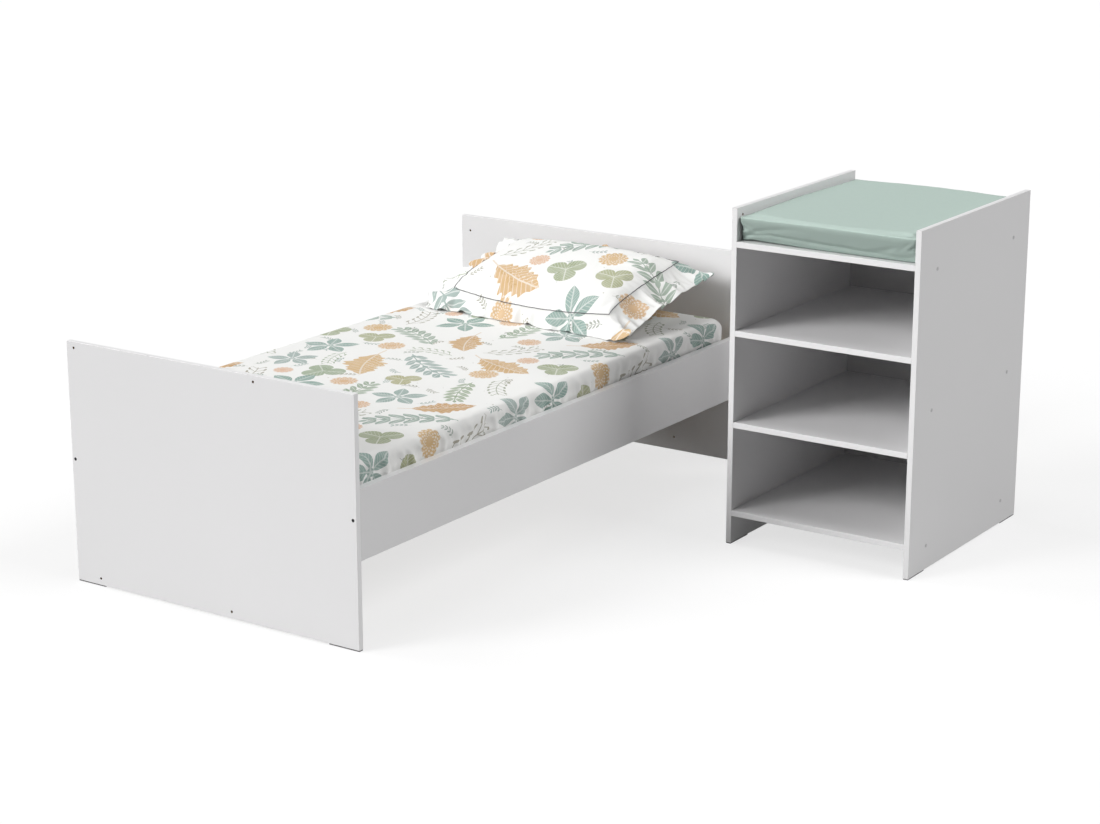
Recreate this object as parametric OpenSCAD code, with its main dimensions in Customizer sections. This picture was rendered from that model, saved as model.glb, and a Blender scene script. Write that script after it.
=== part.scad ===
// Junior bed with its separate changing unit: the two halves of a convertible crib, standing side by side.
// The origin is at the middle of the whole set's box, on the floor. +X runs from the bed to the changing
// unit, +Y from the footboard to the headboard, +Z up. Lengths are in millimetres.

/* [Bed] */
// Width of the footboard, over the outside of both side rails
bed_w = 950; // [800:10:1150]
// Height of the footboard and of the headboard above the floor
board_h = 660; // [560:10:900]
// Width of the headboard, which reaches past the bed on both sides
headboard_w = 1200; // [1160:10:1600]
// Thickness of the melamine boards of the bed
board_t = 16; // [15:1:25]
// Free length between the footboard and the headboard
rail_len = 1910; // [1870:10:2150]
// Height of a side rail
rail_h = 185; // [160:5:230]
// Thickness of a side rail
rail_t = 22; // [20:1:32]
// Height of the rails' lower edge above the floor
rail_z = 233; // [150:5:260]
// Height of the rail bolts above the rails' lower edge
bolt_up = 107; // [60:1:120]
// Distance of the rail dowels from the rails' lower and upper edges
rail_dowel_edge = 30; // [15:1:35]

/* [Slatted base] */
// Number of slats
slat_count = 14; // [8:1:18]
// Width of a slat
slat_w = 70; // [40:2:90]
// Thickness of a slat
slat_t = 14; // [12:1:22]
// Height of the slats' upper face above the rails' lower edge
deck_h = 118; // [90:2:130]
// Distance from each board to the nearest slat
deck_end = 40; // [20:5:80]
// Width of a ledger, the batten that carries the slats
ledger_w = 24; // [20:1:40]
// Height of a ledger
ledger_h = 30; // [24:1:50]
// Distance from each board to the end of a ledger
ledger_end = 20; // [10:5:60]
// Number of screws that hold a ledger to its rail
ledger_screws_n = 7; // [3:1:10]

/* [Mattress and pillow] */
// Thickness of the mattress at its edge, with its sheet on
mattress_h = 131; // [90:1:180]
// Space between the mattress and each side rail
mattress_side_gap = 5; // [2:1:30]
// Space between the mattress and the footboard
mattress_foot_gap = 4; // [2:1:20]
// Space between the mattress and the headboard
mattress_head_gap = 106; // [4:1:160]
// Radius of the mattress's corners, seen from above
mattress_corner_r = 40; // [20:1:80]
// Width of the pillow, over its flange
pillow_w = 752; // [500:2:800]
// Length of the pillow, from its front flange to the one by the headboard
pillow_l = 464; // [300:2:600]
// Width of the flange at the pillow's two sides, seen from above
pillow_side_flange = 84; // [15:1:100]
// Width of the flange at the pillow's front and rear, seen from above
pillow_end_flange = 50; // [15:1:80]
// Height of the front seam above the mattress, at its middle
pillow_front_lift = 50; // [30:1:80]
// Height of the rear seam above the mattress, at its corners
pillow_back_lift = 147; // [100:1:170]
// Height of the pillow's rear corners above the mattress
pillow_rear_lift = 112; // [60:1:140]
// Height of the pillow's filling above the surface through its seams
pillow_crown = 42; // [20:1:80]
// Space between the pillow's rear edge and the headboard
pillow_rear_gap = 59; // [10:1:120]

/* [Changing unit] */
// Width over both side panels
changer_w = 562; // [460:2:800]
// Depth of the side panels
changer_d = 684; // [480:2:800]
// Height above the floor
changer_h = 950; // [900:5:1050]
// Thickness of the side panels and of the shelves
changer_t = 16; // [15:1:22]
// Space between the bed and the changing unit
changer_gap = 325; // [200:5:800]
// Distance of the changing unit's back from the plane of the headboard's back
changer_back = 22; // [0:1:300]
// Depth of the tray that holds the mat, from the panels' upper edge to the top shelf
tray_h = 92; // [70:1:120]
// Free height of the upper compartment
upper_bay_h = 231; // [180:1:260]
// Free height of the middle compartment
middle_bay_h = 243; // [180:1:260]
// Height of the upper face of the lowest shelf
bottom_shelf_z = 98; // [60:1:120]
// Thickness of the hardboard back
back_t = 3; // [2.5:0.5:6]
// Distance of the back from the rear edges
back_inset = 10; // [6:1:20]
// Depth of the grooves that hold the back
groove_d = 7; // [4:0.5:9]
// Thickness of the changing mat at its middle
mat_h = 68; // [40:1:88]
// Space between the mat and each side panel
mat_side_gap = 1.5; // [0.5:0.5:20]

/* [Fittings] */
// Diameter of the holes that are left from the crib
spare_hole_d = 7; // [5:0.5:9]
// Diameter of a rail bolt
bolt_d = 6; // [5:0.5:8]
// Diameter of a rail bolt's head
bolt_head_d = 9; // [8.5:0.5:11]
// Diameter of the cross nut that a rail bolt screws into
nut_d = 10; // [9:0.5:13]
// Distance from a rail's end to its cross nut
nut_depth = 34; // [25:1:45]
// Diameter of the wooden dowels
dowel_d = 8; // [6:1:10]
// Length of the wooden dowels
dowel_l = 30; // [26:1:36]
// Depth of a dowel in the board or panel that it joins to
dowel_in = 10; // [8:1:12]
// Diameter of a cam lock
cam_d = 15; // [12:0.5:18]
// Distance from a shelf's end to the middle of a cam lock
cam_inset = 34; // [24:1:40]
// Diameter of a shelf pin
pin_d = 5; // [4:0.5:7]
// Thickness of a floor glide
glide_t = 3; // [2:0.5:8]
// Length of a floor glide
glide_l = 95; // [40:5:150]
// Radius of the eased edges of the boards
edge_r = 0.8; // [0.4:0.1:2]

/* [Hidden] */
$fn = 32;
slat_names = [for (i = [1:slat_count]) str("slat_", i < 10 ? "0" : "", i)];
glide_names = [for (i = [1:8]) str("glide_", i)];

// Colours
board_white = [0.93, 0.93, 0.925];
pine = [0.87, 0.74, 0.54];
beech = [0.80, 0.62, 0.42];
steel = [0.66, 0.67, 0.69];
dark_steel = [0.22, 0.22, 0.23];
glide_grey = [0.35, 0.34, 0.35];
sheet_cream = [0.95, 0.93, 0.88];
pillow_cream = [0.94, 0.91, 0.85];
mat_green = [0.68, 0.79, 0.74];

// Clearances
fit_gap = 0.05;      // round a dowel, bolt or pin in its hole
rest_gap = 0.3;      // under what only rests on its carrier
slide_gap = 0.5;     // beside a loose shelf
slat_end_gap = 3;    // between a slat and each rail
groove_gap = 0.2;    // on each face of the back in its groove
over = 1;            // how far a cutter reaches past a face

// Bed, with x = 0 on its middle line and y = 0 on the footboard's outer face
rail_inner = bed_w / 2 - rail_t;
rail_mid = bed_w / 2 - rail_t / 2;
head_y = board_t + rail_len;
bed_l = head_y + board_t;
bolt_z = rail_z + bolt_up;
bolt_head_h = 4;
bolt_past_nut = 8;
bolt_hole_spare = 2;
hex_socket = 4;
hex_socket_h = 2.5;
nut_skin = 6;
nut_l = rail_t - nut_skin;
nut_slot = 1.2;
deck_z = rail_z + deck_h;
ledger_top = deck_z - slat_t;
ledger_z = ledger_top - ledger_h;
slat_l = 2 * (rail_inner - slat_end_gap);
slat_first = board_t + deck_end;
slat_pitch = (rail_len - 2 * deck_end - slat_w) / (slat_count - 1);
ledger_l = rail_len - 2 * ledger_end;

// Screws
screw_d = 4;
screw_head_d = 8;
screw_head_h = 2.5;
screw_cross_l = 4.4;
screw_cross_w = 1;
screw_cross_h = 1.4;
slat_screw_in = 18;
ledger_screw_in = 14;
slat_screw_l = slat_t + slat_screw_in;
ledger_screw_l = ledger_w + ledger_screw_in;
slat_screw_x = rail_inner - ledger_w / 2;

// Spare holes: distance from a board's left edge or its floor line
foot_upper_edge = 25;
foot_upper_mid = 633;
foot_upper_drop = 16;
foot_lower_left = 82;
foot_lower_mid = 537;
foot_lower_z = 21;
head_edge = 33;
head_upper_drop = 48;
head_lower_z = 44;
head_lower_in = 389;

// Changing unit
changer_x = bed_w / 2 + changer_gap;
changer_right = changer_x + changer_w;
changer_in_l = changer_x + changer_t;
changer_in_r = changer_right - changer_t;
changer_in_w = changer_in_r - changer_in_l;
changer_y = bed_l - changer_back - changer_d;
top_shelf_z = changer_h - tray_h;
upper_shelf_z = top_shelf_z - changer_t - upper_bay_h;
lower_shelf_z = upper_shelf_z - changer_t - middle_bay_h;
groove_y = changer_y + changer_d - back_inset - back_t - groove_gap;
groove_w = back_t + 2 * groove_gap;
loose_shelf_d = groove_y - changer_y - slide_gap;
cam_h = 12;
cam_slot = 1;
cam_cross_l = 8;
cam_cross_w = 1.6;
cam_cross_h = 1.5;
cam_bolt_d = 6;
cam_bolt_neck_d = 4.5;
cam_bolt_head_l = 2.5;
cam_bolt_head_in = 4;
cam_bolt_in = 11;
cam_rows = [60, changer_d - 90];
dowel_rows = [110, changer_d - 140];
pin_rows = [55, loose_shelf_d - 60];
pin_in = 9;
pin_out = 8;
pin_pad_t = 2.5;
pin_pad_w = 10;
pin_sunk = 0.1;
cap_d = 10;
cap_t = 1;
cap_stem = 6;
cap_columns = [102, changer_d - 102];
cap_rows = [70, 449, changer_h - 117];
wall_hole_front = 30;
wall_hole_drop = 21;

// Soft pieces
mattress_top = deck_z + rest_gap + mattress_h;
mattress_half_w = rail_inner - mattress_side_gap;
mattress_y = board_t + mattress_foot_gap;
mattress_l = rail_len - mattress_foot_gap - mattress_head_gap;
mattress_roll = 26;
mattress_crown = 5;
mat_w = changer_in_w - 2 * mat_side_gap;
mat_end_gap = 4;
mat_l = changer_d - 2 * mat_end_gap;
mat_corner_r = 22;
mat_roll = 16;
mat_sink = 3;
flange_t = 4;
pillow_x = -9;
pillow_shoulder = 2.6;      // higher is flatter in the middle
pillow_edge = 0.5;          // lower is steeper at the seam
pillow_under = 170;         // how fast the lower side drops from the seam to the mattress
pillow_rise = 0.65;         // below 1, the pillow climbs faster at its front
pillow_front_z = 3;         // height of the front edge above the mattress
pillow_front_corner = 14;   // how far the front seam's corners stand above its middle
pillow_back_middle = 13;    // how far the rear seam's middle stands above its corners
pillow_edge_middle = 36;    // how far the rear edge's middle stands above its corners
pillow_skew = 20;           // how far the right front corner comes forward
pillow_bow = 30;            // how far the filling pushes the front seam's middle forward

// The whole set's middle, which becomes the origin
set_left = -headboard_w / 2;
set_mid_x = (set_left + changer_right) / 2;
set_mid_y = bed_l / 2;

module in_frame() {
    translate([-set_mid_x, -set_mid_y, 0]) children();
}

// ---- Boards -------------------------------------------------------------------------------------------

// A rectangle with one corner at the origin and rounded corners
module eased_rect(w, h) {
    translate([edge_r, 0]) square([w - 2 * edge_r, h]);
    translate([0, edge_r]) square([w, h - 2 * edge_r]);
    for (x = [edge_r, w - edge_r], y = [edge_r, h - edge_r]) translate([x, y]) circle(edge_r);
}

// A board in the XZ plane, thickness along +Y, with its four outer edges eased on both faces
module board_xz(w, t, h) {
    intersection() {
        linear_extrude(h) eased_rect(w, t);
        rotate([90, 0, 90]) linear_extrude(w) eased_rect(t, h);
    }
}

// A board in the YZ plane, thickness along +X
module board_yz(t, l, h) {
    intersection() {
        linear_extrude(h) eased_rect(t, l);
        translate([0, l, 0]) rotate([90, 0, 0]) linear_extrude(l) eased_rect(t, h);
    }
}

// A board lying flat, thickness along +Z
module board_xy(w, l, t) {
    intersection() {
        translate([0, l, 0]) rotate([90, 0, 0]) linear_extrude(l) eased_rect(w, t);
        rotate([90, 0, 90]) linear_extrude(w) eased_rect(l, t);
    }
}

// Cylinders along X and Y
module rod_x(d, l) {
    rotate([0, 90, 0]) cylinder(d = d, h = l);
}
module rod_y(d, l) {
    rotate([-90, 0, 0]) cylinder(d = d, h = l);
}

// ---- Rail joint: one bolt into a cross nut, with a dowel above and below ---------------------------------

// Children once at each end of both rails, drawn for the left rail's foot end with y = 0 on the board's
// inner face and +y into the rail
module at_rail_ends(sides = [-1, 1], ends = [0, 1]) {
    for (side = sides, end = ends)
        translate([side * rail_mid, end == 0 ? board_t : head_y, 0])
            scale_y(end == 0 ? 1 : -1) mirror([side > 0 ? 1 : 0, 0, 0]) children();
}
module scale_y(dir) {
    mirror([0, dir < 0 ? 1 : 0, 0]) children();
}

module rail_bolt() {
    translate([0, -board_t, bolt_z]) difference() {
        union() {
            rod_y(bolt_head_d, bolt_head_h);
            rod_y(bolt_d, board_t + nut_depth + bolt_past_nut);
        }
        translate([0, -over, 0]) rotate([-90, 0, 0]) cylinder(d = hex_socket, h = over + hex_socket_h, $fn = 6);
    }
}
module rail_bolt_hole() {
    translate([0, -board_t - over, bolt_z]) rod_y(bolt_head_d + 2 * fit_gap, bolt_head_h + over);
    translate([0, -board_t - over, bolt_z])
        rod_y(bolt_d + 2 * fit_gap, over + board_t + nut_depth + bolt_past_nut + bolt_hole_spare);
}
module cross_nut() {
    translate([rail_t / 2 - nut_l, nut_depth, bolt_z]) difference() {
        rod_x(nut_d, nut_l);
        translate([nut_l - rail_t / 2, -nut_d, 0]) rod_y(bolt_d + 2 * fit_gap, 2 * nut_d);
        translate([nut_l - nut_slot, -nut_d, -nut_slot / 2]) cube([over + nut_slot, 2 * nut_d, nut_slot]);
    }
}
module cross_nut_hole() {
    translate([rail_t / 2 - nut_l, nut_depth, bolt_z]) rod_x(nut_d + 2 * fit_gap, nut_l + over);
}
module rail_dowel(gap = 0) {
    for (z = [rail_z + rail_dowel_edge, rail_z + rail_h - rail_dowel_edge])
        translate([0, -dowel_in - gap, z]) rod_y(dowel_d + 2 * gap, dowel_l + 2 * gap);
}
module rail_joint_holes() {
    rail_bolt_hole();
    cross_nut_hole();
    rail_dowel(fit_gap);
}

// ---- Bed frame --------------------------------------------------------------------------------------------

module footboard() color(board_white) in_frame() difference() {
    translate([-bed_w / 2, 0, glide_t]) board_xz(bed_w, board_t, board_h - glide_t);
    at_rail_ends(ends = [0]) rail_joint_holes();
    for (x = [foot_upper_edge, foot_upper_mid])
        translate([x - bed_w / 2, -over, board_h - foot_upper_drop]) rod_y(spare_hole_d, board_t + 2 * over);
    for (x = [foot_lower_left, foot_lower_mid])
        translate([x - bed_w / 2, -over, foot_lower_z]) rod_y(spare_hole_d, board_t + 2 * over);
}

module headboard() color(board_white) in_frame() difference() {
    translate([-headboard_w / 2, head_y, glide_t]) board_xz(headboard_w, board_t, board_h - glide_t);
    at_rail_ends(ends = [1]) rail_joint_holes();
    for (side = [-1, 1]) {
        translate([side * (headboard_w / 2 - head_edge), head_y - over, board_h - head_upper_drop])
            rod_y(spare_hole_d, board_t + 2 * over);
        translate([side * (headboard_w / 2 - head_lower_in), head_y - over, head_lower_z])
            rod_y(spare_hole_d, board_t + 2 * over);
    }
}

// One rail with its end holes and the holes of the ledger's screws; side is -1 for left, 1 for right
module side_rail(side) color(board_white) in_frame() difference() {
    translate([side * rail_mid - rail_t / 2, board_t, rail_z]) board_yz(rail_t, rail_len, rail_h);
    at_rail_ends(sides = [side]) rail_joint_holes();
    at_ledger_screws(side) ledger_screw(fit_gap);
}

// A ledger with a countersunk hole for each of its own screws and a pilot hole under each slat end
module ledger(side) color(pine) in_frame() difference() {
    translate([side * (rail_inner - ledger_w / 2) - ledger_w / 2, board_t + ledger_end, ledger_z])
        board_yz(ledger_w, ledger_l, ledger_h);
    at_ledger_screws(side) ledger_screw(fit_gap);
    at_slat_screws(side) slat_screw(fit_gap);
}

module slat(i) color(pine) in_frame() difference() {
    translate([-slat_l / 2, slat_first + i * slat_pitch, deck_z - slat_t]) board_xy(slat_l, slat_w, slat_t);
    for (side = [-1, 1]) at_slat_screws(side, [i]) slat_screw(fit_gap);
}

// ---- Screws -----------------------------------------------------------------------------------------------

// A countersunk screw with its head's face at z = 0, pointing down; gap widens it into its own hole
module screw(l, gap) {
    translate([0, 0, -screw_head_h])
        cylinder(d1 = screw_d + 2 * gap, d2 = screw_head_d + 2 * gap, h = screw_head_h);
    translate([0, 0, -l - gap]) cylinder(d = screw_d + 2 * gap, h = l);
}
module screw_cross() {
    for (turn = [0, 90])
        rotate([0, 0, turn]) translate([-screw_cross_l / 2, -screw_cross_w / 2, -screw_cross_h])
            cube([screw_cross_l, screw_cross_w, screw_cross_h + over]);
}
module slat_screw(gap = 0) {
    screw(slat_screw_l, gap);
    if (gap > 0) cylinder(d = screw_head_d + 2 * gap, h = over);
}
module ledger_screw(gap = 0) {
    rotate([0, -90, 0]) {
        screw(ledger_screw_l, gap);
        if (gap > 0) cylinder(d = screw_head_d + 2 * gap, h = over);
    }
}
module at_slat_screws(side, rows = [0:slat_count - 1]) {
    for (i = rows)
        translate([side * slat_screw_x, slat_first + i * slat_pitch + slat_w / 2, deck_z]) children();
}
// Ledger screws sit between two slats, so that neither kind meets the other
module at_ledger_screws(side) {
    bays = slat_count - 2;
    for (k = [0:ledger_screws_n - 1])
        let (bay = round(bays * k / (ledger_screws_n - 1)))
            translate([side * (rail_inner - ledger_w),
                       slat_first + bay * slat_pitch + (slat_pitch + slat_w) / 2,
                       ledger_z + ledger_h / 2])
                mirror([side > 0 ? 0 : 1, 0, 0]) children();
}

module rail_bolts() color(dark_steel) in_frame() at_rail_ends() rail_bolt();
module cross_nuts() color(steel) in_frame() at_rail_ends() cross_nut();
module rail_dowels() color(beech) in_frame() at_rail_ends() rail_dowel();
module slat_screws() color(steel) in_frame()
    for (side = [-1, 1]) at_slat_screws(side) difference() {
        slat_screw();
        screw_cross();
    }
module ledger_screws() color(steel) in_frame()
    for (side = [-1, 1]) at_ledger_screws(side) difference() {
        ledger_screw();
        rotate([0, -90, 0]) screw_cross();
    }

// ---- Soft pieces ------------------------------------------------------------------------------------------

// Outline of a rounded rectangle, anticlockwise, as nx and ny steps along its sides and arc steps in each corner
function outline(a, b, r, nx, ny, arc) = concat(
    [for (i = [0:ny - 1]) [a, (b - r) * (2 * i / ny - 1)]],
    [for (i = [0:arc - 1]) let (t = 90 * i / arc) [a - r + r * cos(t), b - r + r * sin(t)]],
    [for (i = [0:nx - 1]) [(a - r) * (1 - 2 * i / nx), b]],
    [for (i = [0:arc - 1]) let (t = 90 + 90 * i / arc) [r - a + r * cos(t), b - r + r * sin(t)]],
    [for (i = [0:ny - 1]) [-a, (b - r) * (1 - 2 * i / ny)]],
    [for (i = [0:arc - 1]) let (t = 180 + 90 * i / arc) [r - a + r * cos(t), r - b + r * sin(t)]],
    [for (i = [0:nx - 1]) [(a - r) * (2 * i / nx - 1), -b]],
    [for (i = [0:arc - 1]) let (t = 270 + 90 * i / arc) [a - r + r * cos(t), r - b + r * sin(t)]]
);

// A pad lofted through rings [inset, height, ripple], closed by a fan at its foot and at its top
module lofted_pad(a, b, r, rings, nx, ny, ripples) {
    arc = 5;
    n = 2 * nx + 2 * ny + 4 * arc;
    levels = len(rings);
    points = concat(
        [for (ring = rings)
            let (base = outline(a - ring[0], b - ring[0], max(r - ring[0], 4), nx, ny, arc))
                for (i = [0:n - 1])
                    let (wave = ring[2] * (1 + sin(360 * ripples * i / n)) / 2)
                        [base[i][0] * (1 - wave / a), base[i][1] * (1 - wave / b), ring[1]]],
        [[0, 0, rings[0][1]], [0, 0, rings[levels - 1][1]]]
    );
    foot = n * levels;
    top = foot + 1;
    faces = concat(
        [for (k = [0:levels - 2], i = [0:n - 1])
            [k * n + i, (k + 1) * n + (i + 1) % n, k * n + (i + 1) % n]],
        [for (k = [0:levels - 2], i = [0:n - 1])
            [k * n + i, (k + 1) * n + i, (k + 1) * n + (i + 1) % n]],
        [for (i = [0:n - 1]) [foot, i, (i + 1) % n]],
        [for (i = [0:n - 1]) [top, (levels - 1) * n + (i + 1) % n, (levels - 1) * n + i]]
    );
    polyhedron(points, faces);
}

// Mattress in its fitted sheet: rolled edges, sides that gather in ripples and a slightly crowned top
module mattress() color(sheet_cream) in_frame()
    translate([0, mattress_y + mattress_l / 2, deck_z + rest_gap])
        lofted_pad(mattress_half_w, mattress_l / 2, mattress_corner_r, [
            [10, 0, 0],
            [3, 8, 2],
            [0, mattress_h * 0.3, 3],
            [0, mattress_h * 0.55, 3],
            [2, mattress_h - mattress_roll, 2],
            [mattress_roll * 0.35, mattress_h - mattress_roll * 0.4, 1],
            [mattress_roll, mattress_h - mattress_crown, 0],
            [mattress_roll * 2.2, mattress_h - mattress_crown * 0.4, 0],
            [mattress_roll * 4, mattress_h, 0]
        ], 14, 26, 23);

// Changing mat between the side panels: a foam slab with rolled edges and a top that sinks to the middle
module changing_mat() color(mat_green) in_frame()
    translate([changer_in_l + changer_in_w / 2, changer_y + changer_d / 2, top_shelf_z + rest_gap])
        lofted_pad(mat_w / 2, mat_l / 2, mat_corner_r, [
            [5, 0, 0],
            [1, 5, 0],
            [0, mat_h * 0.3, 1],
            [0, mat_h * 0.6, 1],
            [1.5, mat_h - mat_roll, 1],
            [mat_roll * 0.3, mat_h - mat_roll * 0.35, 0],
            [mat_roll, mat_h - 1, 0],
            [mat_roll * 2.4, mat_h, 0],
            [mat_roll * 6, mat_h - mat_sink, 0]
        ], 18, 22, 15);

// Pillow: a filled body inside a flange that drapes down from its seams to the mattress
pillow_nu = 26;
pillow_nv = 20;
seam_u = 1 - 2 * pillow_side_flange / pillow_w;
seam_v = 1 - 2 * pillow_end_flange / pillow_l;
// Grid lines: one strip for the flange at each end and even steps between the seams
function grid_line(i, n, seam) = i == 0 ? -1 : i == n ? 1 : seam * (2 * (i - 1) / (n - 2) - 1);
// Fullness of the filling across one direction, 1 in the middle and 0 at the seam
function fullness(s) = pow(max(0, 1 - pow(abs(s), pillow_shoulder)), pillow_edge);
function pillow_fill(u, v) = fullness(u / seam_u) * fullness(v / seam_v);
// A share of the body, held between its two seams
function in_seams(s) = max(-1, min(1, s));
// How far a point lies out in the flange: 0 at the seam and 1 at the edge
function flange_share(s, seam) = max(0, (abs(s) - seam) / (1 - seam));
// The surface through the seams: it climbs from the front towards the headboard
function seam_surface(a, b) =
    let (front = pillow_front_lift + pillow_front_corner * a * a,
         back = pillow_back_lift + pillow_back_middle * (1 - a * a))
        front + (back - front) * pow((b + 1) / 2, pillow_rise);
// The flange's edge: on the mattress at the front and up towards the headboard along the sides
function flange_edge(u, v) =
    pillow_front_z + (pillow_rear_lift - pillow_front_z) * pow((v + 1) / 2, pillow_rise)
        + (v > 0 ? pillow_edge_middle * (1 - u * u) * flange_share(v, seam_v) : 0);
// How far a point of the front is pushed forward
function forward(a, b) = (pillow_skew * a + pillow_bow * (1 - a * a)) * (1 - b) / 2;
function pillow_point(u, v, side) =
    let (a = in_seams(u / seam_u),
         b = in_seams(v / seam_v),
         out = max(flange_share(u, seam_u), flange_share(v, seam_v)),
         push = forward(a, b) * (1 - out) + pillow_skew * u * (1 - v) / 2 * out,
         middle = seam_surface(a, b) * (1 - out) + flange_edge(u, v) * out,
         lift = pillow_fill(u, v) * (side > 0 ? pillow_crown : -pillow_under),
         z = middle + side * flange_t / 2 + lift)
        [pillow_w / 2 * u, pillow_l / 2 * v - push, max(z, 0)];
module pillow() color(pillow_cream) in_frame() {
    nu = pillow_nu;
    nv = pillow_nv;
    count = (nu + 1) * (nv + 1);
    points = [for (side = [1, -1], j = [0:nv], i = [0:nu])
        pillow_point(grid_line(i, nu, seam_u), grid_line(j, nv, seam_v), side)];
    row = nu + 1;
    cells = [for (j = [0:nv - 1], i = [0:nu - 1]) j * row + i];
    rim = concat(
        [for (i = [0:nu - 1]) [i, i + 1]],
        [for (j = [0:nv - 1]) [j * row + nu, (j + 1) * row + nu]],
        [for (i = [nu:-1:1]) [nv * row + i, nv * row + i - 1]],
        [for (j = [nv:-1:1]) [j * row, (j - 1) * row]]
    );
    faces = concat(
        [for (c = cells) [c, c + row, c + row + 1]],
        [for (c = cells) [c, c + row + 1, c + 1]],
        [for (c = cells) [count + c, count + c + row + 1, count + c + row]],
        [for (c = cells) [count + c, count + c + 1, count + c + row + 1]],
        [for (e = rim) [e[0], e[1], count + e[1]]],
        [for (e = rim) [e[0], count + e[1], count + e[0]]]
    );
    translate([pillow_x, head_y - pillow_rear_gap - pillow_l / 2, mattress_top + rest_gap])
        polyhedron(points, faces);
}

// ---- Changing unit ----------------------------------------------------------------------------------------

// Heights of the two shelves that cams and dowels fix to the panels
fixed_shelves = [top_shelf_z, bottom_shelf_z];

// Children at the left panel's inner face with +x into the shelf, and mirrored at the right one
module at_inner_faces(sides = [0, 1]) {
    for (side = sides)
        translate([side == 0 ? changer_in_l : changer_in_r, changer_y, 0]) mirror([side, 0, 0]) children();
}

// A cam bolt: thread in the side panel, neck and head inside the shelf
module cam_bolt() {
    neck = cam_inset - cam_bolt_head_in;
    translate([-cam_bolt_in, 0, 0]) rod_x(cam_bolt_d, cam_bolt_in);
    rod_x(cam_bolt_neck_d, neck);
    translate([neck, 0, 0]) rod_x(cam_bolt_d, cam_bolt_head_l);
}
module cam_bolt_hole() {
    translate([-cam_bolt_in - fit_gap, 0, 0]) rod_x(cam_bolt_d + 2 * fit_gap, cam_bolt_in + cam_inset);
}
// A cam lock from the shelf's underside, slotted where the cam bolt's head enters it
module cam_lock() {
    translate([cam_inset, 0, -changer_t / 2]) difference() {
        cylinder(d = cam_d, h = cam_h);
        translate([-cam_d, -cam_bolt_d / 2 - cam_slot, changer_t / 2 - cam_bolt_d / 2 - cam_slot / 2])
            cube([cam_d + 2 * cam_slot, cam_bolt_d + 2 * cam_slot, cam_bolt_d + cam_slot]);
        for (turn = [0, 90])
            rotate([0, 0, turn]) translate([-cam_cross_l / 2, -cam_cross_w / 2, -over])
                cube([cam_cross_l, cam_cross_w, over + cam_cross_h]);
    }
}
module cam_lock_hole() {
    translate([cam_inset, 0, -changer_t / 2 - over]) cylinder(d = cam_d + 2 * fit_gap, h = cam_h + over + fit_gap);
}
module shelf_dowel(gap = 0) {
    translate([-dowel_in - gap, 0, 0]) rod_x(dowel_d + 2 * gap, dowel_l + 2 * gap);
}
module at_cams(shelves = fixed_shelves) {
    for (z = shelves, y = cam_rows) translate([0, y, z - changer_t / 2]) children();
}
module at_shelf_dowels(shelves = fixed_shelves) {
    for (z = shelves, y = dowel_rows) translate([0, y, z - changer_t / 2]) children();
}

// A shelf pin: a peg in the side panel with a flat pad that the loose shelf lies on
module shelf_pin() {
    translate([-pin_in, 0, -pin_pad_t - pin_d / 2]) rod_x(pin_d, pin_in + pin_out);
    translate([0, -pin_pad_w / 2, -pin_pad_t]) cube([pin_out, pin_pad_w, pin_pad_t]);
    translate([0, -pin_d / 2, -pin_pad_t - pin_d / 2]) cube([pin_out, pin_d, pin_d / 2 + pin_sunk]);
}
module shelf_pin_hole() {
    translate([-pin_in - fit_gap, 0, -pin_pad_t - pin_d / 2]) rod_x(pin_d + 2 * fit_gap, pin_in + over);
}
module at_pins(shelf_z) {
    for (y = pin_rows) translate([0, y, shelf_z - changer_t - rest_gap]) children();
}

// Holes that joined this unit to the crib, in the right panel closed by caps on its outer face
module cap_holes() {
    for (y = cap_columns, z = cap_rows)
        translate([changer_in_r - over, changer_y + y, z]) rod_x(cap_stem, changer_t + 2 * over);
}

// One side panel: 0 is left, 1 is right
module changer_side(side) color(board_white) in_frame() difference() {
    translate([side == 0 ? changer_x : changer_in_r, changer_y, glide_t])
        board_yz(changer_t, changer_d, changer_h - glide_t);
    at_inner_faces([side]) {
        at_cams() cam_bolt_hole();
        at_shelf_dowels() shelf_dowel(fit_gap);
        at_pins(upper_shelf_z) shelf_pin_hole();
        at_pins(lower_shelf_z) shelf_pin_hole();
        // groove for the back, from the lowest shelf to the top shelf
        translate([-groove_d, groove_y - changer_y, bottom_shelf_z - groove_d])
            cube([groove_d + over, groove_w, top_shelf_z - changer_t - bottom_shelf_z + 2 * groove_d]);
    }
    if (side == 0)
        translate([changer_x - over, changer_y + wall_hole_front, changer_h - wall_hole_drop])
            rod_x(spare_hole_d, changer_t + 2 * over);
    else cap_holes();
}

// A shelf that is fixed to both side panels and grooved for the back on its face towards the compartments
module fixed_shelf(z, groove_up) color(board_white) in_frame() difference() {
    translate([changer_in_l, changer_y, z - changer_t]) board_xy(changer_in_w, changer_d, changer_t);
    at_inner_faces() {
        at_cams([z]) {
            cam_bolt_hole();
            cam_lock_hole();
        }
        at_shelf_dowels([z]) shelf_dowel(fit_gap);
    }
    translate([changer_in_l - over, groove_y, groove_up ? z - groove_d : z - changer_t - over])
        cube([changer_in_w + 2 * over, groove_w, groove_d + over]);
}
module top_shelf() fixed_shelf(top_shelf_z, false);
module bottom_shelf() fixed_shelf(bottom_shelf_z, true);

// A shelf that lies on four pins and draws out to the front
module loose_shelf(z) color(board_white) in_frame()
    translate([changer_in_l + slide_gap, changer_y, z - changer_t])
        board_xy(changer_in_w - 2 * slide_gap, loose_shelf_d, changer_t);
module upper_shelf() loose_shelf(upper_shelf_z);
module lower_shelf() loose_shelf(lower_shelf_z);

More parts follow.
